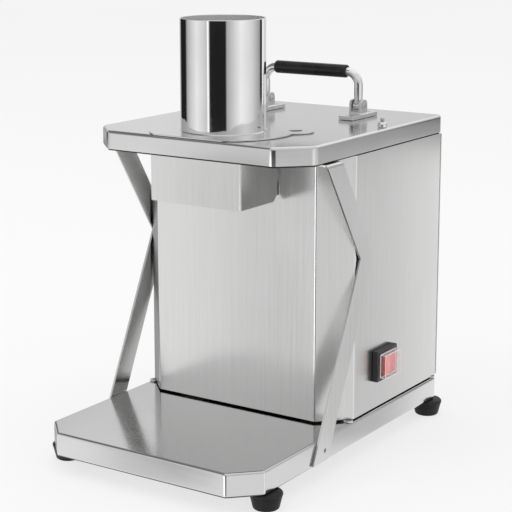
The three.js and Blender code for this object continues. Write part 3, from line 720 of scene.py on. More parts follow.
# Investment-cast and blasted, with softer reflections than sheet
BRACKET_LOOK = speckled(
    "cast_bracket", (0.72, 0.72, 0.72), (0.8, 0.8, 0.8), (0.36, 0.44), (12, 3), (0.5, 3),
    (0.012, 0.4), Metallic=1.0)
# The deck's finish, with painted shade on its upright faces.
DECK_LOOK = sheet_with_painted_shade_edges()
GRIP_LOOK = rubber("grip_rubber", (0.24, 0.32))
BOOT_BEAD_LOOK = milky_bead()
LOOKS = {
    "brushed_stainless": upright_grain(),
    "satin_stainless": satin_sheet(),
    "polished_stainless": mirror_polish(),
    "chrome_plate": speckled(
        "chrome_plate", (0.76, 0.76, 0.77), (0.84, 0.84, 0.85), (0.06, 0.12), (6, 3),
        Metallic=1.0),
    "plain_steel": speckled(
        "plain_steel", (0.5, 0.5, 0.51), (0.64, 0.64, 0.65), (0.22, 0.36), (3, 4),
        relief=(0.02, 0.3), Metallic=1.0),
    "cast_aluminium": speckled(
        "cast_aluminium", (0.45, 0.46, 0.47), (0.6, 0.61, 0.62), (0.42, 0.58), (0.9, 4),
        relief=(0.12, 0.6), Metallic=1.0),
    "black_rubber": rubber("black_rubber", (0.42, 0.58)),
    "black_plastic": moulded(
        "black_plastic", (0.014, 0.014, 0.014), (0.022, 0.022, 0.022), (0.3, 0.42)),
    "red_plastic": red_rocker(),
    "clear_boot": clear_boot(),
    "dark_paint": speckled(
        "dark_paint", (0.04, 0.045, 0.05), (0.055, 0.06, 0.07), (0.4, 0.5), (2.5, 2),
        relief=(0.05, 0.4), Coat_Weight=0.4, Coat_Roughness=0.2),
    "white_plastic": moulded(
        "white_plastic", (0.7, 0.68, 0.62), (0.8, 0.78, 0.73), (0.36, 0.48)),
}


# ---- Base and feet -----------------------------------------------------------------------------


def pan(low, high, chamfer, front_radius):
    """The outline function of a folded pan with chamfered front corners."""
    corners = chamfered(low, high, chamfer)
    radii = [front_radius] * 3 + [REAR_RADIUS + 2] * 2 + [front_radius]
    return rounded(corners, radii, 6)


def fold(z_flat, z_wall, inset_flat, inset_wall, steps=5):
    """Levels of a quarter bend from a flat face to a wall."""
    made = []
    for k in range(steps + 1):
        a = math.radians(90 * k / steps)
        made.append((
            inset_wall + (inset_flat - inset_wall) * (1 - math.sin(a)),
            z_wall + (z_flat - z_wall) * math.cos(a),
        ))
    return made


def base_pan():
    low, high = box("base_pan")
    shape = pan(low, high, BASE_CHAMFER, BASE_CORNER)
    r, t = BASE_BEND, SHEET
    levels = (
        fold(high.z, high.z - r, r, 0)
        + fold(low.z, low.z + r, r, 0)[::-1]
        + [(BASE_LIP, low.z), (BASE_LIP, low.z + t)]
        + fold(low.z + t, low.z + r, r, t)
        + fold(high.z - t, high.z - r, r, t)[::-1]
    )
    piece("base_pan_sheet", raised(shape, levels), "satin_stainless", stands_for="base_pan")


def foot(name):
    _, high, centre = spans(name)
    top = high.z
    profile = [
        (0, 6.5), (5, 6.5), (5, 1.2), (5.8, 0), (12.2, 0), (13.5, 1.2), (16.4, top - 4.6),
        (17, top - 3.4), (17, top - 1.4), (15.6, top), (0, top),
    ]
    radii = [0, 0.4, 0.4, 0.3, 1.2, 1.6, 2, 1, 1, 1, 0]
    rubber_part = lathe(soft_profile(profile, radii), 72)
    piece(name + "_rubber", moved(rubber_part, centre.x, centre.y), "black_rubber", stands_for=name)
    screw = lathe(soft_profile(
        [(0, 3.4), (2.6, 3.6), (4.4, 4.9), (4.4, 6.4), (0, 6.4)], [0, 0.8, 0.5, 0, 0]), 32)
    piece(name + "_screw", moved(screw, centre.x, centre.y), "plain_steel")


# ---- Body --------------------------------------------------------------------------------------


NOTCH_ABOVE_HOOD = 5.8


def body_shell():
    """The wrap of sheet, open at the rear, notched for the hood and cut out for the switch."""
    low, high = box("body_shell")
    c = BODY_CHAMFER
    path = vec([
        (low.x + REAR_FLANGE, high.y), (low.x, high.y), (low.x, low.y + c), (low.x + c, low.y),
        (high.x - c, low.y), (high.x, low.y + c), (high.x, high.y), (high.x - REAR_FLANGE, high.y),
    ])
    radii = [0, BODY_BEND, *[BODY_CORNER] * 4, BODY_BEND, 0]
    section = sheet_section(path, radii, THIN_SHEET, 6)
    shell = make_mesh("body", straight(section, low.z, high.z))
    hood_low, hood_high = box("chute_hood")
    notch = block(
        (hood_low.x - 0.3, low.y - 2, hood_low.z + NOTCH_ABOVE_HOOD),
        (hood_high.x + 0.3, low.y + 3, high.z + 1), 0.01)
    switch_low, switch_high = box("switch_housing")
    hole = block(
        (high.x - 4, switch_low.y + 4, switch_low.z + 4),
        (high.x + 2, switch_high.y - 4, switch_high.z - 4), 0.01)
    piece("body_wrap", carved(shell, notch, hole), "brushed_stainless",
          stands_for="body_shell", bevel=0.18)


VENT = {"rows": 6, "x": 58, "pitch": 13, "half": 32.5, "radius": 2.5, "below_top": 55.7}


def rear_cover():
    low, high, centre = spans("rear_cover")
    gland = middle("cord_gland")
    # drawn in X and Z, raised along -Y from the rear face
    holes = [circle(gland.x, gland.z, 8, 32)]
    for row in range(VENT["rows"]):
        z = high.z - VENT["below_top"] - row * VENT["pitch"]
        for _, side in SIDES:
            holes.append(slot_outline(centre.x + side * VENT["x"], z, VENT["half"], VENT["radius"]))
    shape = rectangle(low.x, high.x, low.z, high.z)
    panel = plate(rounded(shape, 2.0, 4), -high.y, -low.y, 0.25, holes)
    piece("rear_panel", upright_y(panel), "brushed_stainless", stands_for="rear_cover")


def cross_recess(top, depth, width=0.5, length=2.0):
    """Two bars that cut a cross into a screw head whose top is at that height."""
    return (
        block((-length, -width, top - depth), (length, width, top + 2), 0.02),
        block((-width, -length, top - depth * 0.97), (width, length, top + 2.1), 0.02),
    )


def cover_screw(name):
    """A pan-head screw with a cross recess; its head stands behind the cover."""
    low, high, centre = spans(name)
    reach = high.y - low.y
    r = (high.x - low.x) / 2
    head = make_mesh(name, lathe(soft_profile(
        [(0, 0), (r, 0), (r, 0.8), (r * 0.6, reach), (0, reach)], [0, 0.2, 0.8, 1.2, 0], 5), 40))
    head = carved(head, *cross_recess(reach, 1.1))
    head.transform(Matrix.Translation((centre.x * MM, low.y * MM, centre.z * MM))
                   @ Matrix.Rotation(-math.pi / 2, 4, "X"))
    piece(name + "_head", head, "plain_steel", stands_for=name)


def hexagon(radius):
    """Corners of a hexagon."""
    return [on_circle(Vector((0, 0)), radius, math.radians(60 * k)) for k in range(6)]


def hex_nut(across, bottom, top, bore, edge=0.35):
    """A nut with its six corners eased, and a bore."""
    shape = rounded(hexagon(across / math.sqrt(3)), 0.5, 3)
    return plate(shape, bottom, top, edge, [circle(0, 0, bore, 24)])


def spacer_nut(name):
    low, high, centre = spans(name)
    nut = hex_nut((high.y - low.y) * 0.98, low.z, high.z, 2.6, 0.25)
    piece(name + "_hex", moved(nut, centre.x, centre.y), "plain_steel", stands_for=name)


def cord_gland():
    """A hexagonal nut, a ribbed dome and a clamping collar round an empty bore."""
    low, high, centre = spans("cord_gland")
    bore = 3.7
    reach = high.y - low.y
    neck = lathe(soft_ring([(bore, 0), (7.6, 0), (7.6, 11), (bore, 11)], 0.3), 40)
    hexed = plate(rounded(hexagon(11.8), 1.2, 3), 9.3, 15.2, 0.7, [circle(0, 0, bore, 24)])
    dome = lathe(soft_ring([
        (bore, 14.8), (10.2, 14.8), (10.2, 21), (8.6, 25.2), (6.2, reach), (bore, reach)], 0.5), 64)
    ribs = Solid()
    for k in range(18):
        rib = block((9.6, -0.55, 15.8), (10.9, 0.55, 20.4), 0.25)
        ribs.add(rib, Matrix.Rotation(2 * math.pi * k / 18, 4, "Z"))
    whole = joined(neck, hexed, dome, ribs)
    piece("cord_gland_body", along_y(whole, centre.x, low.y, centre.z), "black_plastic",
          stands_for="cord_gland")


# ---- Top plate, deck and chute -----------------------------------------------------------------


def top_plate():
    low, high = box("top_plate")
    tube = middle("feed_tube")
    shape = pan(low, high, PLATE_CHAMFER, PLATE_CORNER)
    r, t = PLATE_BEND, SHEET
    levels = (
        fold(high.z - t, high.z - r, r, t)
        + [(t, low.z + 0.3), (t - 0.3, low.z), (0.3, low.z), (0, low.z + 0.3)]
        + fold(high.z, high.z - r, r, 0)[::-1]
    )
    seat_low, seat_high = box("grid_frame")
    bore = (seat_high.x - seat_low.x) / 2 + 0.3
    seat_z = seat_low.z - 0.3
    ledge = 1.3
    rings = [
        (bore + 2.7, high.z - t), (bore + 2.7, seat_z - ledge), (bore - 2.3, seat_z - ledge),
        (bore - 2.3, seat_z), (bore, seat_z), (bore, high.z - 0.4), (bore + 0.12, high.z - 0.12),
        (bore + 0.4, high.z),
    ]
    hole = [(circle(tube.x, tube.y, radius, 72)(), z) for radius, z in rings]
    piece("top_plate_sheet", raised(shape, levels, [hole]), "satin_stainless",
          stands_for="top_plate")


DECK_HOLES = {"tube": 46, "spindle": 12}


def deck_plate():
    low, high = box("deck_plate")
    tube, spindle = middle("feed_tube"), middle("spindle")
    corners = chamfered(low, high, PLATE_CHAMFER - 1.05)
    radii = [3] * 3 + [REAR_RADIUS] * 2 + [3]
    sheet = plate(rounded(corners, radii, 4), low.z, high.z, 0.2,
                  [circle(tube.x, tube.y, DECK_HOLES["tube"], 64),
                   circle(spindle.x, spindle.y, DECK_HOLES["spindle"], 40)])
    piece("deck_sheet", sheet, "satin_stainless", stands_for="deck_plate", look=DECK_LOOK)


CHUTE_CORNER = 7


def chute_hood():
    low, high = box("chute_hood")
    path = vec([(low.x, high.y), (low.x, low.y), (high.x, low.y), (high.x, high.y)])
    radii = [0, 1.5, 1.5, 0]
    walls = sheet_section(path, radii, THIN_SHEET, 4)
    hood = make_mesh("hood", straight(walls, low.z, high.z))
    c = CHUTE_CORNER
    corner = vec([
        (high.y - c - 1, low.z - 1), (high.y + 2, low.z - 1), (high.y + 2, low.z + c + 2),
    ])
    wedge = upright_x(straight(corner, low.x - 2, high.x + 2))
    hood = carved(hood, wedge)
    piece("hood_walls", hood, "brushed_stainless", stands_for="chute_hood", bevel=0.15)
    inner = vec([
        (low.x + 1.0, high.y - 0.1), (low.x + 1.0, low.y + 1.0), (high.x - 1.0, low.y + 1.0),
        (high.x - 1.0, high.y - 0.1),
    ])
    flange = sheet_section(inner, [0, 0.5, 0.5, 0], 5.2, 2)
    turned_in = straight(flange, high.z - THIN_SHEET, high.z - 0.01)
    piece("hood_flange", turned_in, "brushed_stainless")


# ---- Feed tube, flange and grid ----------------------------------------------------------------


def feed_tube():
    low, high, centre = spans("feed_tube")
    outer = (high.x - low.x) / 2
    inner = outer - TUBE_WALL
    profile = [(inner, low.z), (outer, low.z), (outer, high.z), (inner, high.z)]
    body = lathe(soft_ring(profile, [0.3, 0.3, 0.55, 0.55], 5), 160)
    piece("feed_tube_wall", moved(body, centre.x, centre.y), "polished_stainless",
          body="feed_assembly", stands_for="feed_tube")


def flange_outline(centre, radius, ear, ear_radius, front):
    """The round plate with its ear, its front trimmed straight."""
    gap = Vector((ear.x - centre.x, ear.y - centre.y))
    heading = math.atan2(gap.y, gap.x)
    d = gap.length
    excess = radius * radius - ear_radius * ear_radius
    spread = math.acos((d * d + excess) / (2 * d * radius))
    ear_spread = math.acos((d * d - excess) / (2 * d * ear_radius))
    trim = math.acos((centre.y - front) / radius)
    ear_start, ear_stop = heading - math.pi + ear_spread, heading + math.pi - ear_spread
    return (
        arc(centre, radius, -math.pi / 2 + trim, heading - spread, 39)
        + arc(ear, ear_radius, ear_start, ear_stop, 32)[1:-1]
        + arc(centre, radius, heading + spread, 3 * math.pi / 2 - trim, 89)
    )


FLANGE_RADIUS = 78
EAR_FROM_TUBE = (68, 35)
EAR_RADIUS = 19.5
EAR_HOLE = 7


def feed_flange():
    low, high = box("feed_flange")
    tube_low, tube_high = box("feed_tube")
    tube = (tube_low + tube_high) / 2
    radius = (tube_high.x - tube_low.x) / 2
    ear = Vector((tube.x + EAR_FROM_TUBE[0], tube.y + EAR_FROM_TUBE[1]))
    rim = flange_outline(tube, FLANGE_RADIUS, ear, EAR_RADIUS, low.y)
    disc = plate(rounded(rim, 0), low.z, high.z, 0.25,
                 [circle(tube.x, tube.y, radius + 0.3, 96), circle(ear.x, ear.y, EAR_HOLE, 40)])
    piece("flange_disc", disc, "satin_stainless", body="feed_assembly", stands_for="feed_flange")
    bead = soft_ring([(radius - 0.05, high.z - 0.6), (radius + 1.5, high.z - 0.05),
                      (radius + 0.5, high.z + 0.45), (radius - 0.05, high.z + 1.5)], 0.25)
    piece("tube_weld", moved(lathe(bead, 120), tube.x, tube.y), "satin_stainless",
          body="feed_assembly")


def dicing_grid():
    low, high, centre = spans("grid_frame")
    outer = (high.x - low.x) / 2
    tube_low, tube_high = box("feed_tube")
    bore = (tube_high.x - tube_low.x) / 2 - TUBE_WALL
    groove = bore + 1.9
    ring = soft_ring([
        (bore, low.z), (outer, low.z), (outer, high.z), (bore, high.z), (bore, high.z - 1.5),
        (groove, high.z - 1.5), (groove, low.z + 1.5), (bore, low.z + 1.5)], 0.15)
    piece("grid_ring", moved(lathe(ring, 96), centre.x, centre.y), "plain_steel",
          body="dicing_grid", stands_for="grid_frame")
    knife_low, knife_high = box("grid_knives")
    reach = (knife_high.x - knife_low.x) / 2
    knives = Solid()
    for turn in (0, 90):
        for row in range(-2, 3):
            offset = row * GRID_PITCH
            half = math.sqrt(reach * reach - offset * offset)
            top = knife_high.z - (0.0 if turn else 0.15)
            section = vec([
                (-0.4, knife_low.z), (0.4, knife_low.z), (0.4, top - 2.2), (0.08, top),
                (-0.08, top), (-0.4, top - 2.2),
            ])
            # drawn in X and Z, run along Y
            blade = straight(section, -half, half)
            blade = moved(upright_y(blade), offset)
            knives.add(blade, Matrix.Translation((centre.x, centre.y, 0))
                       @ Matrix.Rotation(math.radians(turn), 4, "Z"))
    piece("grid_blades", knives, "plain_steel", body="dicing_grid", stands_for="grid_knives")


# ---- Braces ------------------------------------------------------------------------------------

# The front edge's knee and top, from the lower front corner; (Y, Z)
BRACE_KNEE = Vector((93, 200))
BRACE_TOP_FRONT = 22
BRACE_WIDTH = 26
BRACE_TAB = 24
BRACE_THICKNESS = 2.4
BRACE_BEND = 4.2
BRACE_HOLE = 2.3


def brace_edges(low, high):
    """The front edge and the rear edge as three (Y, Z) points each, from the bottom up."""
    start = Vector((low.y, low.z))
    front = [start, start + BRACE_KNEE, Vector((low.y + BRACE_TOP_FRONT, high.z))]
    lower, upper = (front[1] - front[0]).normalized(), (front[2] - front[1]).normalized()
    aside = [Vector((d.y, -d.x)) * BRACE_WIDTH for d in (lower, upper)]
    level = Vector((1, 0))
    rear = [
        meet(front[0] + aside[0], lower, front[0], level),
        meet(front[0] + aside[0], lower, front[1] + aside[1], upper),
        meet(front[1] + aside[1], upper, front[2], level),
    ]
    return front, rear


def brace_right():
    """A knee-shaped strip whose upper end is bent inwards to a tab."""
    low, high = box("brace_right")
    front, rear = brace_edges(low, high)
    x = high.x

    def station(height, across, angle):
        points = []
        for edge in (front, rear):
            a, b = (edge[1], edge[2]) if height > edge[1].y else (edge[0], edge[1])
            y = a.x + (b.x - a.x) * (height - a.y) / (b.y - a.y)
            points.append(Vector((across, y, height)))
        return (*points, Vector((-math.cos(angle), 0, -math.sin(angle))))

    inward = Vector((-1, 0, 0))
    stations = [
        (Vector((x, front[0].x, front[0].y)), Vector((x, rear[0].x, rear[0].y)), inward),
        (Vector((x, front[1].x, front[1].y)), Vector((x, rear[1].x, rear[1].y)), inward),
    ]
    for k in range(9):
        a = math.radians(90 * k / 8)
        stations.append(station(
            high.z - BRACE_BEND + BRACE_BEND * math.sin(a), x - BRACE_BEND * (1 - math.cos(a)), a))
    stations.append((*[p - Vector((BRACE_TAB - BRACE_BEND, 0, 0)) for p in stations[-1][:2]],
                     stations[-1][2]))
    return ribbon(stations, BRACE_THICKNESS, 0.45)


def brace_screw():
    """The end of a screw with a hexagon socket, along Z, sunk in the brace's hole."""
    end = make_mesh("brace_screw", lathe(soft_profile(
        [(0, 0), (2, 0), (2, 0.9), (1.5, 1.2), (0, 1.2)], [0, 0.1, 0.2, 0.2, 0], 4), 40))
    socket = straight(hexagon(0.9), 0.4, 3)
    return carved(end, socket)


def braces():
    right = middle("brace_screw_right")
    drill = along_x(straight(circle(0, 0, BRACE_HOLE, 40)(), -8, 8), *right)
    strip = carved(make_mesh("brace", brace_right()), drill)
    mid = middle("base_pan").x
    for side, sign in SIDES:
        name = "brace_" + side
        shape = strip.copy()
        if sign < 0:
            shape.transform(
                Matrix.Translation((2 * mid * MM, 0, 0)) @ Matrix.Scale(-1, 4, (1, 0, 0)))
            shape.flip_normals()
        piece(name + "_strip", shape, "brushed_stainless", stands_for=name)
        low, high = box("brace_screw_" + side)
        centre = (low + high) / 2
        inside = low.x if sign > 0 else high.x
        end = brace_screw()
        end.transform(Matrix.Translation(Vector((inside, centre.y, centre.z)) * MM)
                      @ Matrix.Rotation(sign * math.pi / 2, 4, "Y"))
        piece(f"brace_screw_{side}_end", end, "plain_steel", stands_for="brace_screw_" + side)


# ---- Studs and nuts of the top plate -----------------------------------------------------------


def threaded(radius, bottom, top, pitch=0.8, depth=0.42, around=32):
    """A rod with a single thread, its ends tapered."""
    solid = Solid()
    rows = int((top - bottom) / (pitch / 8))
    loops = []
    for k in range(rows + 1):
        z = bottom + (top - bottom) * k / rows
        ease = min(1, (top - z) / 1.0, (z - bottom) / 0.4)
        points = []
        for i in range(around):
            phase = (z / pitch - i / around) % 1
            ridge = abs(2 * phase - 1)
            r = radius - depth * (1 - ease * min(1, 1.35 * ridge))
            a = 2 * math.pi * i / around
            points.append((r * math.cos(a), r * math.sin(a), z))
        loops.append(solid.loop(points))
    return solid.skin(loops)


def lid_studs():
    for side, _ in SIDES:
        low, high = box("lid_stud_" + side)
        centre = (low + high) / 2
        radius = (high.x - low.x) / 2
        nut_low, nut_high = box("lid_nut_" + side)
        shank = lathe(soft_profile(
            [(0, low.z), (radius, low.z), (radius, nut_low.z), (radius - 0.4, nut_low.z + 1),
             (0, nut_low.z + 1)], [0, 0.3, 0, 0, 0]), 32)
        stud = joined(shank, threaded(radius, nut_low.z + 0.6, high.z))
        piece(f"lid_stud_{side}_rod", moved(stud, centre.x, centre.y), "plain_steel",
              stands_for="lid_stud_" + side)
        outer = (nut_high.x - nut_low.x) / 2
        bore = radius + 0.12
        dome = lathe(soft_ring(
            [(bore, nut_low.z), (outer, nut_low.z), (outer, nut_high.z), (bore, nut_high.z)],
            [0.2, 0.5, 3.0, 0.3], 6), 64)
        piece(f"lid_nut_{side}_dome", moved(dome, centre.x, centre.y), "chrome_plate",
              stands_for="lid_nut_" + side)


# ---- Folding handle ----------------------------------------------------------------------------

BRACKET_PLATE = 4.3
BRACKET_SCREW_OFFSET = 18
BAR_RADIUS = 4.9
BAR_BEND = 15
LUG = {"depth": 15, "cheek": 2.3, "floor": 7.2}


def handle_bracket(side):
    name = "handle_bracket_" + side
    low, high, centre = spans(name)
    top = low.z + BRACKET_PLATE
    shape = rectangle(low.x, high.x, low.y, high.y)
    holes = []
    for sign in (-1, 1):
        y = centre.y + sign * BRACKET_SCREW_OFFSET
        rings = [(2.3, low.z), (2.3, top - 2.3), (4.3, top - 0.25), (4.5, top)]
        holes.append([(circle(centre.x, y, r, 40)(), z) for r, z in rings])
    base = plate(rounded(shape, 1.2, 4), low.z, top, 0.45, holes, 4)
    piece(name + "_plate", base, "satin_stainless", stands_for=name, look=BRACKET_LOOK)

    half_slot = BAR_RADIUS + 0.3
    half = half_slot + LUG["cheek"]
    # drawn in Y and Z, raised along X
    profile = rectangle(centre.y - LUG["depth"] / 2, centre.y + LUG["depth"] / 2, top - 0.5, high.z)
    ear = upright_x(plate(
        rounded(profile, [0.3, 0.3, 5.5, 5.5], 8), centre.x - half, centre.x + half, 0.5))
    slot = block(
        (centre.x - half_slot, low.y, low.z + LUG["floor"]),
        (centre.x + half_slot, high.y, high.z + 2), 0.01)
    lug = carved(make_mesh(name, ear), slot)
    piece(name + "_lug", lug, "satin_stainless", bevel=0.25, look=BRACKET_LOOK)
    weld = [(1.1, 0.0), (0.72, 0.16), (0.32, 0.45), (0.08, 0.85), (0, 1.25)]
    foot_shape = rectangle(centre.x - half, centre.x + half,
                           centre.y - LUG["depth"] / 2, centre.y + LUG["depth"] / 2)
    levels = [(-1.1, top - 0.4)] + [(-out, top + up) for out, up in weld] + [(0.3, top + 1.25)]
    piece(name + "_weld", raised(rounded(foot_shape, 0.5, 4), levels), "satin_stainless",
          look=BRACKET_LOOK)


def countersunk_screw(name):
    """A countersunk screw with a cross recess, just below the bracket's surface."""
    low, high, centre = spans(name)
    top = high.z
    profile = [
        (0, low.z), (1.9, low.z), (1.9, top - 2.4), (3.9, top - 0.5), (3.9, top - 0.2),
        (3.5, top + 0.1), (0, top + 0.25),
    ]
    head = make_mesh(name, lathe(soft_profile(profile, [0, 0.3, 0.2, 0.1, 0.2, 0.5, 0], 3), 48))
    head = carved(head, *cross_recess(top, 1.0, 0.45, 1.9))
    head.transform(Matrix.Translation((centre.x * MM, centre.y * MM, 0)))
    piece(name + "_head", head, "plain_steel", stands_for=name)


def pivot_pin(side):
    """A pin through both cheeks, riveted over at each end."""
    name = "handle_pin_" + side
    centre = middle(name)
    end = BAR_RADIUS + 0.3 + LUG["cheek"]
    shift = middle("handle_bracket_" + side).x
    head = [(3.2, end + 0.05), (3.2, end + 0.6), (1.6, end + 1.25), (0, end + 1.25)]
    profile = [(0, -end - 0.02), (1.2, -end - 0.02), (2.2, -end + 0.5), (2.2, end + 0.05), *head]
    pin = lathe(soft_profile(profile, [0, 0.4, 0.4, 0.05, 0.2, 0.5, 0.9, 0], 4), 40)
    piece(name + "_rivet", along_x(pin, shift, centre.y, centre.z), "plain_steel", stands_for=name)


def handle_bar():
    _, high = box("handle_bar")
    pins = [middle("handle_pin_" + side) for side, _ in SIDES]
    y, pivot_z = pins[0].y, pins[0].z
    left, right = (middle("handle_bracket_" + side).x for side, _ in SIDES)
    top = high.z - BAR_RADIUS
    corners = vec([(left, pivot_z), (left, top), (right, top), (right, pivot_z)])
    flat = bent_line(corners, [0, BAR_BEND, BAR_BEND, 0], 0, 14)
    path = [Vector((p.x, y, p.y)) for p in flat]
    bar = swept(path, BAR_RADIUS, 40)
    rim = BAR_RADIUS + 0.5
    eye = lathe(soft_ring(
        [(2.3, -4.2), (rim, -4.2), (rim, 4.2), (2.3, 4.2)], [0.2, 1, 1, 0.2], 6), 48)
    eyes = [along_x(eye, x, y, pivot_z) for x in (left, right)]
    piece("handle_rod", joined(bar, *eyes), "chrome_plate", body="handle", stands_for="handle_bar")


def handle_grip():
    low, high, centre = spans("handle_grip")
    half = (high.x - low.x) / 2
    radius = (high.z - low.z) / 2
    sleeve = lathe(soft_ring(
        [(BAR_RADIUS - 0.02, -half), (radius, -half), (radius, half), (BAR_RADIUS - 0.02, half)],
        [0.2, 1.9, 1.9, 0.2], 8), 72)
    piece("handle_sleeve", along_x(sleeve, *centre), "black_rubber",
          body="handle", stands_for="handle_grip", look=GRIP_LOOK)


# ---- Switch ------------------------------------------------------------------------------------

BEZEL_DEPTH = 6.5
SWITCH_POCKET = {"width": 28, "height": 21.5, "depth": 6}
SWITCH_BARREL = {"width": 35, "height": 25.5}
BOOT_WALL = 1
ROCKER = {"half": 13, "tilt": 7}


def stacked(stages):
    """A solid through outlines at heights, closed by the first and the last."""
    solid = Solid()
    loops = [solid.loop(at_height(points, z)) for points, z in stages]
    return solid.skin(loops)


def centred(width, height, radius, steps=5):
    """An outline round the origin with equal corner radii."""
    shape = rectangle(-width / 2, width / 2, -height / 2, height / 2)
    return rounded(shape, radius, steps)


def switch_housing():
    low, high, centre = spans("switch_housing")
    front, face = high.x, high.x - BEZEL_DEPTH
    barrel = centred(SWITCH_BARREL["width"], SWITCH_BARREL["height"], 1)
    bezel = centred(high.y - low.y, high.z - low.z, 1.6)
    pocket = centred(SWITCH_POCKET["width"], SWITCH_POCKET["height"], 0.8)
    stages = [(barrel(), low.x), (barrel(), face)]
    stages += [(bezel(0.3), face), (bezel(), face + 0.3), (bezel(), front - 1.1)]
    stages += [(bezel(i), z) for i, z in [(0.15, front - 0.55), (0.5, front - 0.15), (1.1, front)]]
    stages += [(pocket(-0.5), front), (pocket(-0.15), front - 0.15), (pocket(), front - 0.5),
               (pocket(), face - SWITCH_POCKET["depth"])]
    piece("switch_case", moved(upright_x(stacked(stages)), 0, centre.y, centre.z), "black_plastic",
          stands_for="switch_housing")


def switch_rocker():
    low, high, centre = spans("switch_rocker")
    boot = middle("switch_boot")
    pivot_x = box("switch_housing")[1].x - 0.8
    half = ROCKER["half"]
    corners = vec([
        (-4, -half + 3), (5.2, -half + 0.3), (3.5, 0), (5.2, half - 0.3), (-4, half - 3),
    ])
    height = high.z - low.z
    shape = rounded(corners, [0.8, 1.6, 12, 1.6, 0.8], 6)
    solid = plate(shape, -height / 2, height / 2, 0.9, (), 4)
    spin = Matrix.Translation((pivot_x, boot.y, centre.z)) @ Matrix.Rotation(
        math.radians(ROCKER["tilt"]), 4, "Z")
    piece("switch_key", solid.placed(spin), "red_plastic", body="rocker",
          stands_for="switch_rocker")


def switch_boot():
    low, high, centre = spans("switch_boot")
    width, height = high.y - low.y, high.z - low.z
    outer = centred(width, height, 1.8, 6)
    inner = centred(width - 2 * BOOT_WALL, height - 2 * BOOT_WALL, 1.0, 6)
    r = 1.1
    stages = [(inner(0.8), high.x - BOOT_WALL), (inner(0.2), high.x - BOOT_WALL - 0.2),
              (inner(), high.x - BOOT_WALL - 0.8), (inner(), low.x), (outer(), low.x)]
    stages += [(outer(inset), z) for inset, z in fold(high.x, high.x - r, r, 0, 6)[::-1]]
    piece("switch_cover", moved(upright_x(stacked(stages)), 0, centre.y, centre.z), "clear_boot",
          stands_for="switch_boot")
    ring = plate(lambda inset=0.0: outer(inset + 0.25), high.x - 1.0, high.x - 0.04, 0.2,
                 [lambda inset=0.0: outer(1.15 + inset)])
    foot_ring = plate(lambda inset=0.0: outer(inset + 0.02), low.x + 0.02, low.x + 0.9, 0.2,
                      [lambda inset=0.0: inner(0.35 + inset)])
    posts = Solid()
    for y in (-1, 1):
        for z in (-1, 1):
            post = block((-0.36, -0.36, low.x + 0.5), (0.36, 0.36, high.x - 0.5), 0.15)
            posts.add(moved(post, y * (width / 2 - 0.78), z * (height / 2 - 0.78)))
    beads = joined(ring, foot_ring, posts)
    piece("switch_cover_beads", moved(upright_x(beads), 0, centre.y, centre.z), "clear_boot",
          look=BOOT_BEAD_LOOK)


# ---- Cutting spindle ---------------------------------------------------------------------------

SHAFT_RADIUS = 7.4
BEARING_BORE = 7.6


def from_cad(node, name, slot, bevel):
    """A piece with the CAD node's own shape, its edges eased."""
    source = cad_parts[node].data
    mesh = bpy.data.meshes.new(name)
    mesh.from_pydata([v.co.copy() for v in source.vertices], [],
                     [tuple(p.vertices) for p in source.polygons])
    work = bmesh.new()
    work.from_mesh(mesh)
    tidy(work)
    bmesh.ops.dissolve_limit(
        work, angle_limit=math.radians(1), verts=work.verts, edges=work.edges)
    work.to_mesh(mesh)
    work.free()
    piece(name, mesh, slot, stands_for=node, bevel=bevel)


def turned_piece(node, name, slot, profile, body=ROOT, radius=0.3, steps=64):
    """A turned ring about the node's own upright axis, from a closed profile."""
    centre = middle(node)
    ring = lathe(soft_ring(profile, radius), steps)
    piece(name, moved(ring, centre.x, centre.y), slot, body=body, stands_for=node)


def spindle():
    low, high, centre = spans("spindle")
    r = SHAFT_RADIUS
    shoulder = high.z - 15.2
    profile = [
        (0, low.z), (r, low.z), (r, shoulder), (12, shoulder), (12, shoulder + 2.5),
        (6, shoulder + 2.5), (6, high.z - 1), (5, high.z), (0, high.z),
    ]
    radii = [0, 0.8, 0.1, 0.3, 0.3, 0.1, 0.2, 0.2, 0]
    shaft = lathe(soft_profile(profile, radii, 3), 64)
    piece("spindle_shaft", moved(shaft, centre.x, centre.y), "plain_steel",
          body="cutting_spindle", stands_for="spindle")


def curve_points(start, control, end, steps):
    """Points on a quadratic curve, its end left out."""
    a, b, c = Vector(start), Vector(control), Vector(end)
    shares = [k / steps for k in range(steps)]
    return [a * (1 - t) ** 2 + b * (2 * t * (1 - t)) + c * t * t for t in shares]


BLADE_REACH = 110
BLADE_BORE = 6.4
BLADE_HUB = 19
BLADE_BEVEL = 3


def slicing_blade():
    """A crescent knife with a ground bevel and a counterweight, and its hub."""
    low, high = box("slicing_blade")
    axis = middle("spindle")
    reach = BLADE_REACH
    rim = (
        curve_points((0, -14), (60, -26), (reach, -2), 22)
        + curve_points((reach, -2), (reach + 1, 14), (reach - 8, 26), 8)
        + curve_points((reach - 8, 26), (58, 6), (0, 16), 22)
        + vec([(0, 16), (-12, 9.6), (-34, 9), (-34, -9), (-12, -9.6)])
    )
    bore = circle(0, 0, BLADE_BORE, 40)
    levels = [(0.02, low.z), (0, low.z + 0.25), (BLADE_BEVEL, high.z)]
    wing = raised(rounded(rim, 0), levels, [[(bore(), z) for _, z in levels]])
    piece("blade_wing", moved(wing, axis.x, axis.y), "satin_stainless",
          body="cutting_spindle", stands_for="slicing_blade")
    hub = plate(circle(0, 0, BLADE_HUB, 72), low.z, high.z + 0.02, 0.35, [bore])
    piece("blade_hub", moved(hub, axis.x, axis.y), "satin_stainless", body="cutting_spindle")


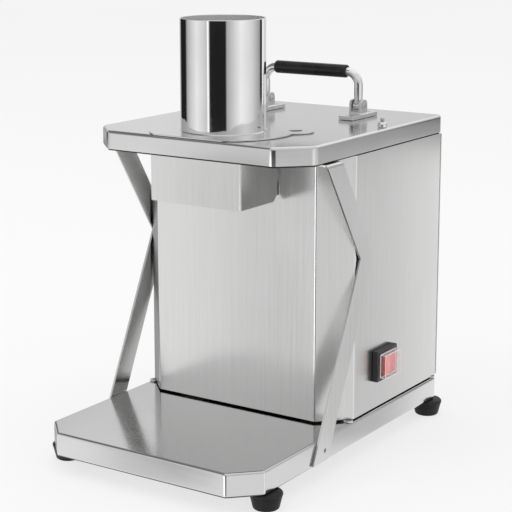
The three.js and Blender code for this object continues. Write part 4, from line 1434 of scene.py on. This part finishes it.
def blade_nut():
    low, high = box("blade_nut")
    axis = middle("spindle")
    nut = hex_nut(17, low.z + 1, high.z, 6.1, 0.7)
    washer = plate(circle(0, 0, 11, 48), low.z, low.z + 1.2, 0.3, [circle(0, 0, 6.1, 32)])
    piece("blade_nut_hex", moved(joined(nut, washer), axis.x, axis.y), "plain_steel",
          body="cutting_spindle", stands_for="blade_nut")


def pulley(node, name, body):
    """A flat-belt pulley: a groove between two rims, and a relieved face."""
    low, high = box(node)
    outer = (high.x - low.x) / 2
    shaft = 7.55
    profile = [
        (shaft, low.z), (shaft + 5, low.z), (shaft + 5, low.z + 1.6), (outer - 5.5, low.z + 1.6),
        (outer - 5.5, low.z), (outer, low.z), (outer, low.z + 3), (outer - 4, low.z + 3),
        (outer - 4, high.z - 3), (outer, high.z - 3), (outer, high.z), (shaft, high.z),
    ]
    if outer < 30:
        profile = profile[:1] + profile[5:]
    turned_piece(node, name, "cast_aluminium", profile, body, 0.45, 96)


def bearing(node):
    low, high = box(node)
    inner, outer = BEARING_BORE, (high.x - low.x) / 2
    profile = [
        (inner, low.z), (inner + 3, low.z), (inner + 3, low.z + 0.8), (outer - 3, low.z + 0.8),
        (outer - 3, low.z), (outer, low.z), (outer, high.z), (outer - 3, high.z),
        (outer - 3, high.z - 0.8), (inner + 3, high.z - 0.8), (inner + 3, high.z), (inner, high.z),
    ]
    turned_piece(node, node + "_race", "plain_steel", profile)


def belt_outline(front_y, front_radius, rear_y, rear_radius, steps=48):
    """The line of a belt round two pulleys, one behind the other."""
    lean = math.asin((front_radius - rear_radius) / (rear_y - front_y))
    front, rear = Vector((0, front_y)), Vector((0, rear_y))
    return (
        arc(front, front_radius, math.pi - lean, 2 * math.pi + lean, steps)
        + arc(rear, rear_radius, lean, math.pi - lean, steps)
    )


BELT_RADII = (40, 18)
BELT_THICKNESS = (0.1, 2.4)


def drive_belt():
    low, high = box("drive_belt")
    front, rear = middle("spindle"), middle("motor_shaft")
    inner, outer = BELT_THICKNESS

    def loop(out):
        def at(inset=0.0):
            front_radius, rear_radius = (r + out - inset for r in BELT_RADII)
            line = belt_outline(front.y, front_radius, rear.y, rear_radius)
            return [Vector((front.x + p.x, p.y)) for p in line]
        return at

    belt = plate(loop(outer), low.z, high.z, 0.4, [loop(inner)])
    piece("belt_loop", belt, "black_rubber", stands_for="drive_belt")


def spindle_group():
    spindle()
    slicing_blade()
    blade_nut()
    pulley("spindle_pulley", "spindle_wheel", "cutting_spindle")
    bearing("bearing_upper")
    bearing("bearing_lower")
    from_cad("bearing_housing", "bearing_barrel", "cast_aluminium", bevel=0.5)
    low, high = box("shaft_seal")
    outer = (high.x - low.x) / 2
    turned_piece("shaft_seal", "seal_lip", "black_rubber", [
        (7.5, low.z), (outer, low.z), (outer, high.z), (9.2, high.z), (8.2, high.z - 1.2),
        (7.5, high.z - 0.2),
    ])
    drive_belt()


# ---- Motor and electrical parts ----------------------------------------------------------------


def motor():
    low, high = box("motor_housing")
    axis = middle("motor_shaft")
    outer = (high.x - low.x) / 2
    can = outer - 1.6
    profile = [
        (0, low.z), (can - 8, low.z), (can, low.z + 8), (can, high.z - 8), (can - 8, high.z - 2),
        (24, high.z - 2), (24, high.z), (9, high.z), (9, low.z + 60), (0, low.z + 60),
    ]
    body = lathe(soft_profile(profile, [0, 4, 4, 4, 4, 0.4, 0.4, 0.4, 0, 0], 5), 96)
    ribs = Solid()
    rib = block((can - 1.5, -1.1, low.z + 14), (outer, 1.1, high.z - 14), 0.5)
    for k in range(36):
        ribs.add(rib, Matrix.Rotation(2 * math.pi * k / 36, 4, "Z"))
    piece("motor_can", moved(joined(body, ribs), axis.x, axis.y), "dark_paint",
          stands_for="motor_housing")
    low, high = box("motor_shaft")
    shaft = lathe(soft_profile(
        [(0, low.z), (7, low.z), (7, high.z), (0, high.z)], [0, 0.5, 1, 0]), 48)
    piece("motor_axle", moved(shaft, axis.x, axis.y), "plain_steel",
          body="motor_rotor", stands_for="motor_shaft")
    pulley("motor_pulley", "motor_wheel", "motor_rotor")
    from_cad("motor_plate", "motor_bridge", "plain_steel", bevel=0.3)


def capacitor():
    low, high, centre = spans("capacitor")
    r = (high.x - low.x) / 2
    can = lathe(soft_profile(
        [(0, low.z), (r, low.z), (r, high.z - 3), (r - 2, high.z - 1.5), (0, high.z - 1.5)],
        [0, 1, 1, 1, 0], 4), 64)
    tags = Solid()
    for x in (-6, 6):
        for y in (-1.6, 1.6):
            tags.add(block((x - 3, y - 0.4, high.z - 2), (x + 3, y + 0.4, high.z), 0.15))
    piece("capacitor_can", moved(can, centre.x, centre.y), "white_plastic", stands_for="capacitor")
    piece("capacitor_tags", moved(tags, centre.x, centre.y), "plain_steel")


TERMINAL = {"count": 4, "pitch": 12.4, "row": 4.4}


def terminal_block():
    low, high, centre = spans("terminal_block")
    places = []
    for k in range(TERMINAL["count"]):
        x = centre.x + (k - (TERMINAL["count"] - 1) / 2) * TERMINAL["pitch"]
        places += [(x, centre.y + side * TERMINAL["row"]) for side in (-1, 1)]
    rings = [(2.6, low.z), (2.6, high.z - 0.3), (2.9, high.z)]
    holes = [[(circle(x, y, r, 20)(), z) for r, z in rings] for x, y in places]
    shape = rectangle(low.x, high.x, low.y, high.y)
    body = plate(rounded(shape, 1.5, 4), low.z, high.z, 0.6, holes, 4)
    piece("terminal_body", body, "white_plastic", stands_for="terminal_block")
    head = lathe([(0, 0), (2.4, 0), (2.4, 4.2), (0, 4.4)], 20)
    screws = joined(*[moved(head, x, y, high.z - 6) for x, y in places])
    piece("terminal_screws", screws, "plain_steel")


# ---- The whole machine -------------------------------------------------------------------------


def build():
    base_pan()
    for place in ("front_left", "front_right", "rear_left", "rear_right"):
        foot("foot_" + place)
        spacer_nut("spacer_nut_" + place)
    body_shell()
    rear_cover()
    for place in ("top_left", "top_right", "bottom_left", "bottom_right"):
        cover_screw("cover_screw_" + place)
    cord_gland()
    top_plate()
    deck_plate()
    chute_hood()
    from_cad("chute_slide", "slide_sheet", "satin_stainless", bevel=0.15)
    feed_tube()
    feed_flange()
    dicing_grid()
    braces()
    lid_studs()
    for side, _ in SIDES:
        handle_bracket(side)
        pivot_pin(side)
        for end in ("front", "rear"):
            countersunk_screw(f"bracket_screw_{side}_{end}")
    handle_bar()
    handle_grip()
    switch_housing()
    switch_rocker()
    switch_boot()
    spindle_group()
    motor()
    capacitor()
    terminal_block()


# ---- Stage -------------------------------------------------------------------------------------

FLOOR_GLOW = 0.72
FLOOR_REACH = 40


def floor_paint():
    """Pale matt paint that glows a little, so that shadows on it stay faint."""
    look = Look("floor_paint", Roughness=0.9)
    cloud = look.noise((900, 900, 900), detail=2)
    look.set("Base Color", look.tint(cloud, (0.195, 0.195, 0.195), (0.2, 0.2, 0.2)))
    look.set("Specular IOR Level", 0.0)
    look.set("Emission Color", look.tint(cloud, (0.995, 0.995, 0.995), (1.0, 1.0, 1.0)))
    look.set("Emission Strength", FLOOR_GLOW)
    return look.material


def floor():
    reach = FLOOR_REACH
    mesh = bpy.data.meshes.new("floor")
    mesh.from_pydata(
        [(-reach, -reach, 0), (reach, -reach, 0), (reach, reach, 0), (-reach, reach, 0)], [],
        [(0, 1, 2, 3)])
    mesh.materials.append(floor_paint())
    made = new_object("floor", mesh)
    made.visible_glossy = False


# Tones of the studio's walls by direction, in degrees from the direction of the camera towards
# its right. The high band is what level faces reflect, the upper one what the tube does, the
# lower one what the body does, and the lowest what the base does.
HIGH_WALL = (
    (-177, 0.72), (-172, 0.82), (-162, 0.82), (-140, 0.45), (-100, 0.6), (-60, 0.75),
    (-20, 0.5), (30, 0.65), (60, 0.85), (110, 0.55), (140, 0.65), (165, 0.72),
)
UPPER_WALL = (
    (-176, 0.7), (-165, 0.7), (-150, 0.4), (-143, 0.015), (-112, 0.015), (-106, 0.45), (-95, 0.63),
    (-70, 0.95), (-50, 0.75), (-41, 0.62), (-39.5, 1.3), (-37.5, 1.3), (-34, 0.015), (6.3, 0.015),
    (9, 0.45), (20, 0.61), (46, 1.0), (79, 0.75), (103, 0.47), (113, 0.38),
    (115, 0.04), (125.5, 0.04), (128.5, 1.1), (134, 1.1), (140, 0.75), (165, 0.72),
)
# The same at the height that the top plate's rim reflects, without the dark strip at its right
RIM_WALL = tuple(
    (angle, max(tone, 0.42) if 110 < angle < 127 else tone) for angle, tone in UPPER_WALL)
LOWER_WALL = (
    (-157, 0.25), (-120, 1.05), (-69, 1.05), (-65.5, 0.72), (-62, 0.54), (-58.8, 0.54),
    (-57.5, 1.0), (-47, 1.0), (-44, 3.0), (-31, 3.0), (-27, 0.3), (8, 0.3), (14, 0.95), (19, 0.95),
    (24, 0.75), (28, 0.75), (45, 1.2), (55, 1.2), (75, 0.7), (95, 0.95), (103, 0.95), (106, 0.5),
    (111.5, 0.6), (114.5, 0.68), (117, 1.1), (124, 1.2), (178, 0.85),
)
BASE_WALL = (
    (-157, 0.4), (-120, 1.05), (-55, 1.0), (-43, 2.0), (-37, 2.0), (-30, 0.9), (40, 0.95),
    (46, 1.3), (54, 1.3), (60, 0.95), (178, 0.95),
)
CEILING = (
    (-170, 0.9), (-165, 0.22), (-55, 0.22), (-50, 0.8), (105, 0.8), (114, 1.1), (163, 1.1),
    (172, 0.9),
)
DOME_RADIUS = 1.2
DOME_HEIGHT = 0.25
# Where each band begins above the dome's middle, how soft its lower edge is, and its tones
BANDS = (
    (-0.9, 0.05, BASE_WALL), (-0.585, 0.012, LOWER_WALL), (-0.085, 0.012, RIM_WALL),
    (-0.025, 0.015, UPPER_WALL), (0.2, 0.04, HIGH_WALL), (0.5, 0.05, CEILING),
)
GROUND_TONE = 0.15
ZENITH = (1.07, 0.03)
ZENITH_TONE = 1.05


def round_ramp(nodes, links, direction, tones):
    """A grey by direction all round, from (degrees, tone) pairs."""
    turn = math.degrees(CAMERA_AZIMUTH) + 90
    stops = sorted((((angle + turn) / 360) % 1, tone) for angle, tone in tones)
    first, last = stops[0], stops[-1]
    share = (1 - last[0]) / (1 - last[0] + first[0])
    seam = last[1] + (first[1] - last[1]) * share
    ramp = nodes.new("ShaderNodeValToRGB")
    ramp.color_ramp.elements[0].position = 0
    ramp.color_ramp.elements[0].color = (seam, seam, seam, 1)
    ramp.color_ramp.elements[1].position = 1
    ramp.color_ramp.elements[1].color = (seam, seam, seam, 1)
    for place, tone in stops:
        ramp.color_ramp.elements.new(place).color = (tone, tone, tone, 1)
    links.new(direction, ramp.inputs[0])
    return ramp.outputs[0]


def dome_paint():
    """The walls and ceiling of the studio, as reflections see them."""
    material = bpy.data.materials.new("dome_paint")
    material.use_nodes = True
    nodes, links = material.node_tree.nodes, material.node_tree.links
    nodes.clear()
    place = nodes.new("ShaderNodeTexCoord").outputs["Object"]
    radial = nodes.new("ShaderNodeTexGradient")
    radial.gradient_type = "RADIAL"
    links.new(place, radial.inputs[0])
    parts = nodes.new("ShaderNodeSeparateXYZ")
    links.new(place, parts.inputs[0])

    def above(height, softness):
        step = nodes.new("ShaderNodeMapRange")
        step.interpolation_type = "SMOOTHSTEP"
        step.inputs["From Min"].default_value = height - softness
        step.inputs["From Max"].default_value = height + softness
        links.new(parts.outputs[2], step.inputs["Value"])
        return step.outputs[0]

    def layered(height, softness, under, over):
        mix = nodes.new("ShaderNodeMix")
        mix.data_type = "RGBA"
        links.new(above(height, softness), mix.inputs["Factor"])
        for socket, value in ((mix.inputs[6], under), (mix.inputs[7], over)):
            if isinstance(value, float):
                socket.default_value = (value, value, value, 1)
            else:
                links.new(value, socket)
        return mix.outputs[2]

    direction = radial.outputs[1]
    tone = GROUND_TONE
    for height, softness, wall in BANDS:
        tone = layered(height, softness, tone, round_ramp(nodes, links, direction, wall))
    tone = layered(*ZENITH, tone, ZENITH_TONE)
    glow = nodes.new("ShaderNodeEmission")
    links.new(tone, glow.inputs["Color"])
    out = nodes.new("ShaderNodeOutputMaterial")
    links.new(glow.outputs[0], out.inputs["Surface"])
    return material


def dome():
    """A sphere round the stage that lights nothing and shows only in reflections."""
    mesh = bpy.data.meshes.new("dome")
    work = bmesh.new()
    bmesh.ops.create_uvsphere(work, u_segments=96, v_segments=48, radius=DOME_RADIUS)
    work.to_mesh(mesh)
    work.free()
    mesh.materials.append(dome_paint())
    made = new_object("dome", mesh)
    made.location = (0, 0, DOME_HEIGHT)
    made.visible_camera = False
    made.visible_diffuse = False
    made.visible_shadow = False
    made.visible_transmission = False


def softbox(name, place, aim, size, power):
    light = bpy.data.lights.new(name, "AREA")
    light.shape = "RECTANGLE"
    light.size, light.size_y = size
    light.energy = power
    made = new_object(name, light)
    made.location = place
    made.rotation_mode = "QUATERNION"
    made.rotation_quaternion = (Vector(aim) - Vector(place)).to_track_quat("-Z", "Y")
    made.visible_glossy = False


# Name, place, what it points at, size and power
SOFTBOXES = (
    ("key", (-1.6, -1.8, 2.6), (0, 0, 0.25), (2.2, 2.2), 26),
    ("top", (0.2, 0.6, 3.2), (0, 0, 0.2), (2.6, 2.6), 22),
)
WORLD_STRENGTH = 0.95


def surroundings():
    world = bpy.data.worlds.new("studio")
    world.use_nodes = True
    back = world.node_tree.nodes["Background"]
    back.inputs["Color"].default_value = (1.0, 1.0, 1.0, 1)
    back.inputs["Strength"].default_value = WORLD_STRENGTH
    world.cycles_visibility.glossy = False
    bpy.context.scene.world = world


CAMERA_AZIMUTH = 0.585
CAMERA_PITCH = 0.195
CAMERA_PLACE = (0.90545, -1.3618, 0.5878)
CAMERA_LENS = 107.31
CAMERA_SHIFT = -51 / 512


def camera():
    view = bpy.data.cameras.new("camera")
    view.lens = CAMERA_LENS
    view.sensor_width = 36
    view.shift_y = CAMERA_SHIFT
    view.clip_start, view.clip_end = 0.05, 100
    made = new_object("camera", view)
    made.location = CAMERA_PLACE
    made.rotation_euler = (math.pi / 2 - CAMERA_PITCH, 0, CAMERA_AZIMUTH)
    bpy.context.scene.camera = made


def set_stage():
    floor()
    dome()
    for lamp in SOFTBOXES:
        softbox(*lamp)
    surroundings()
    bpy.context.scene.view_settings.view_transform = "Standard"
    bpy.context.scene.view_settings.look = "None"


build()
set_stage()
camera()
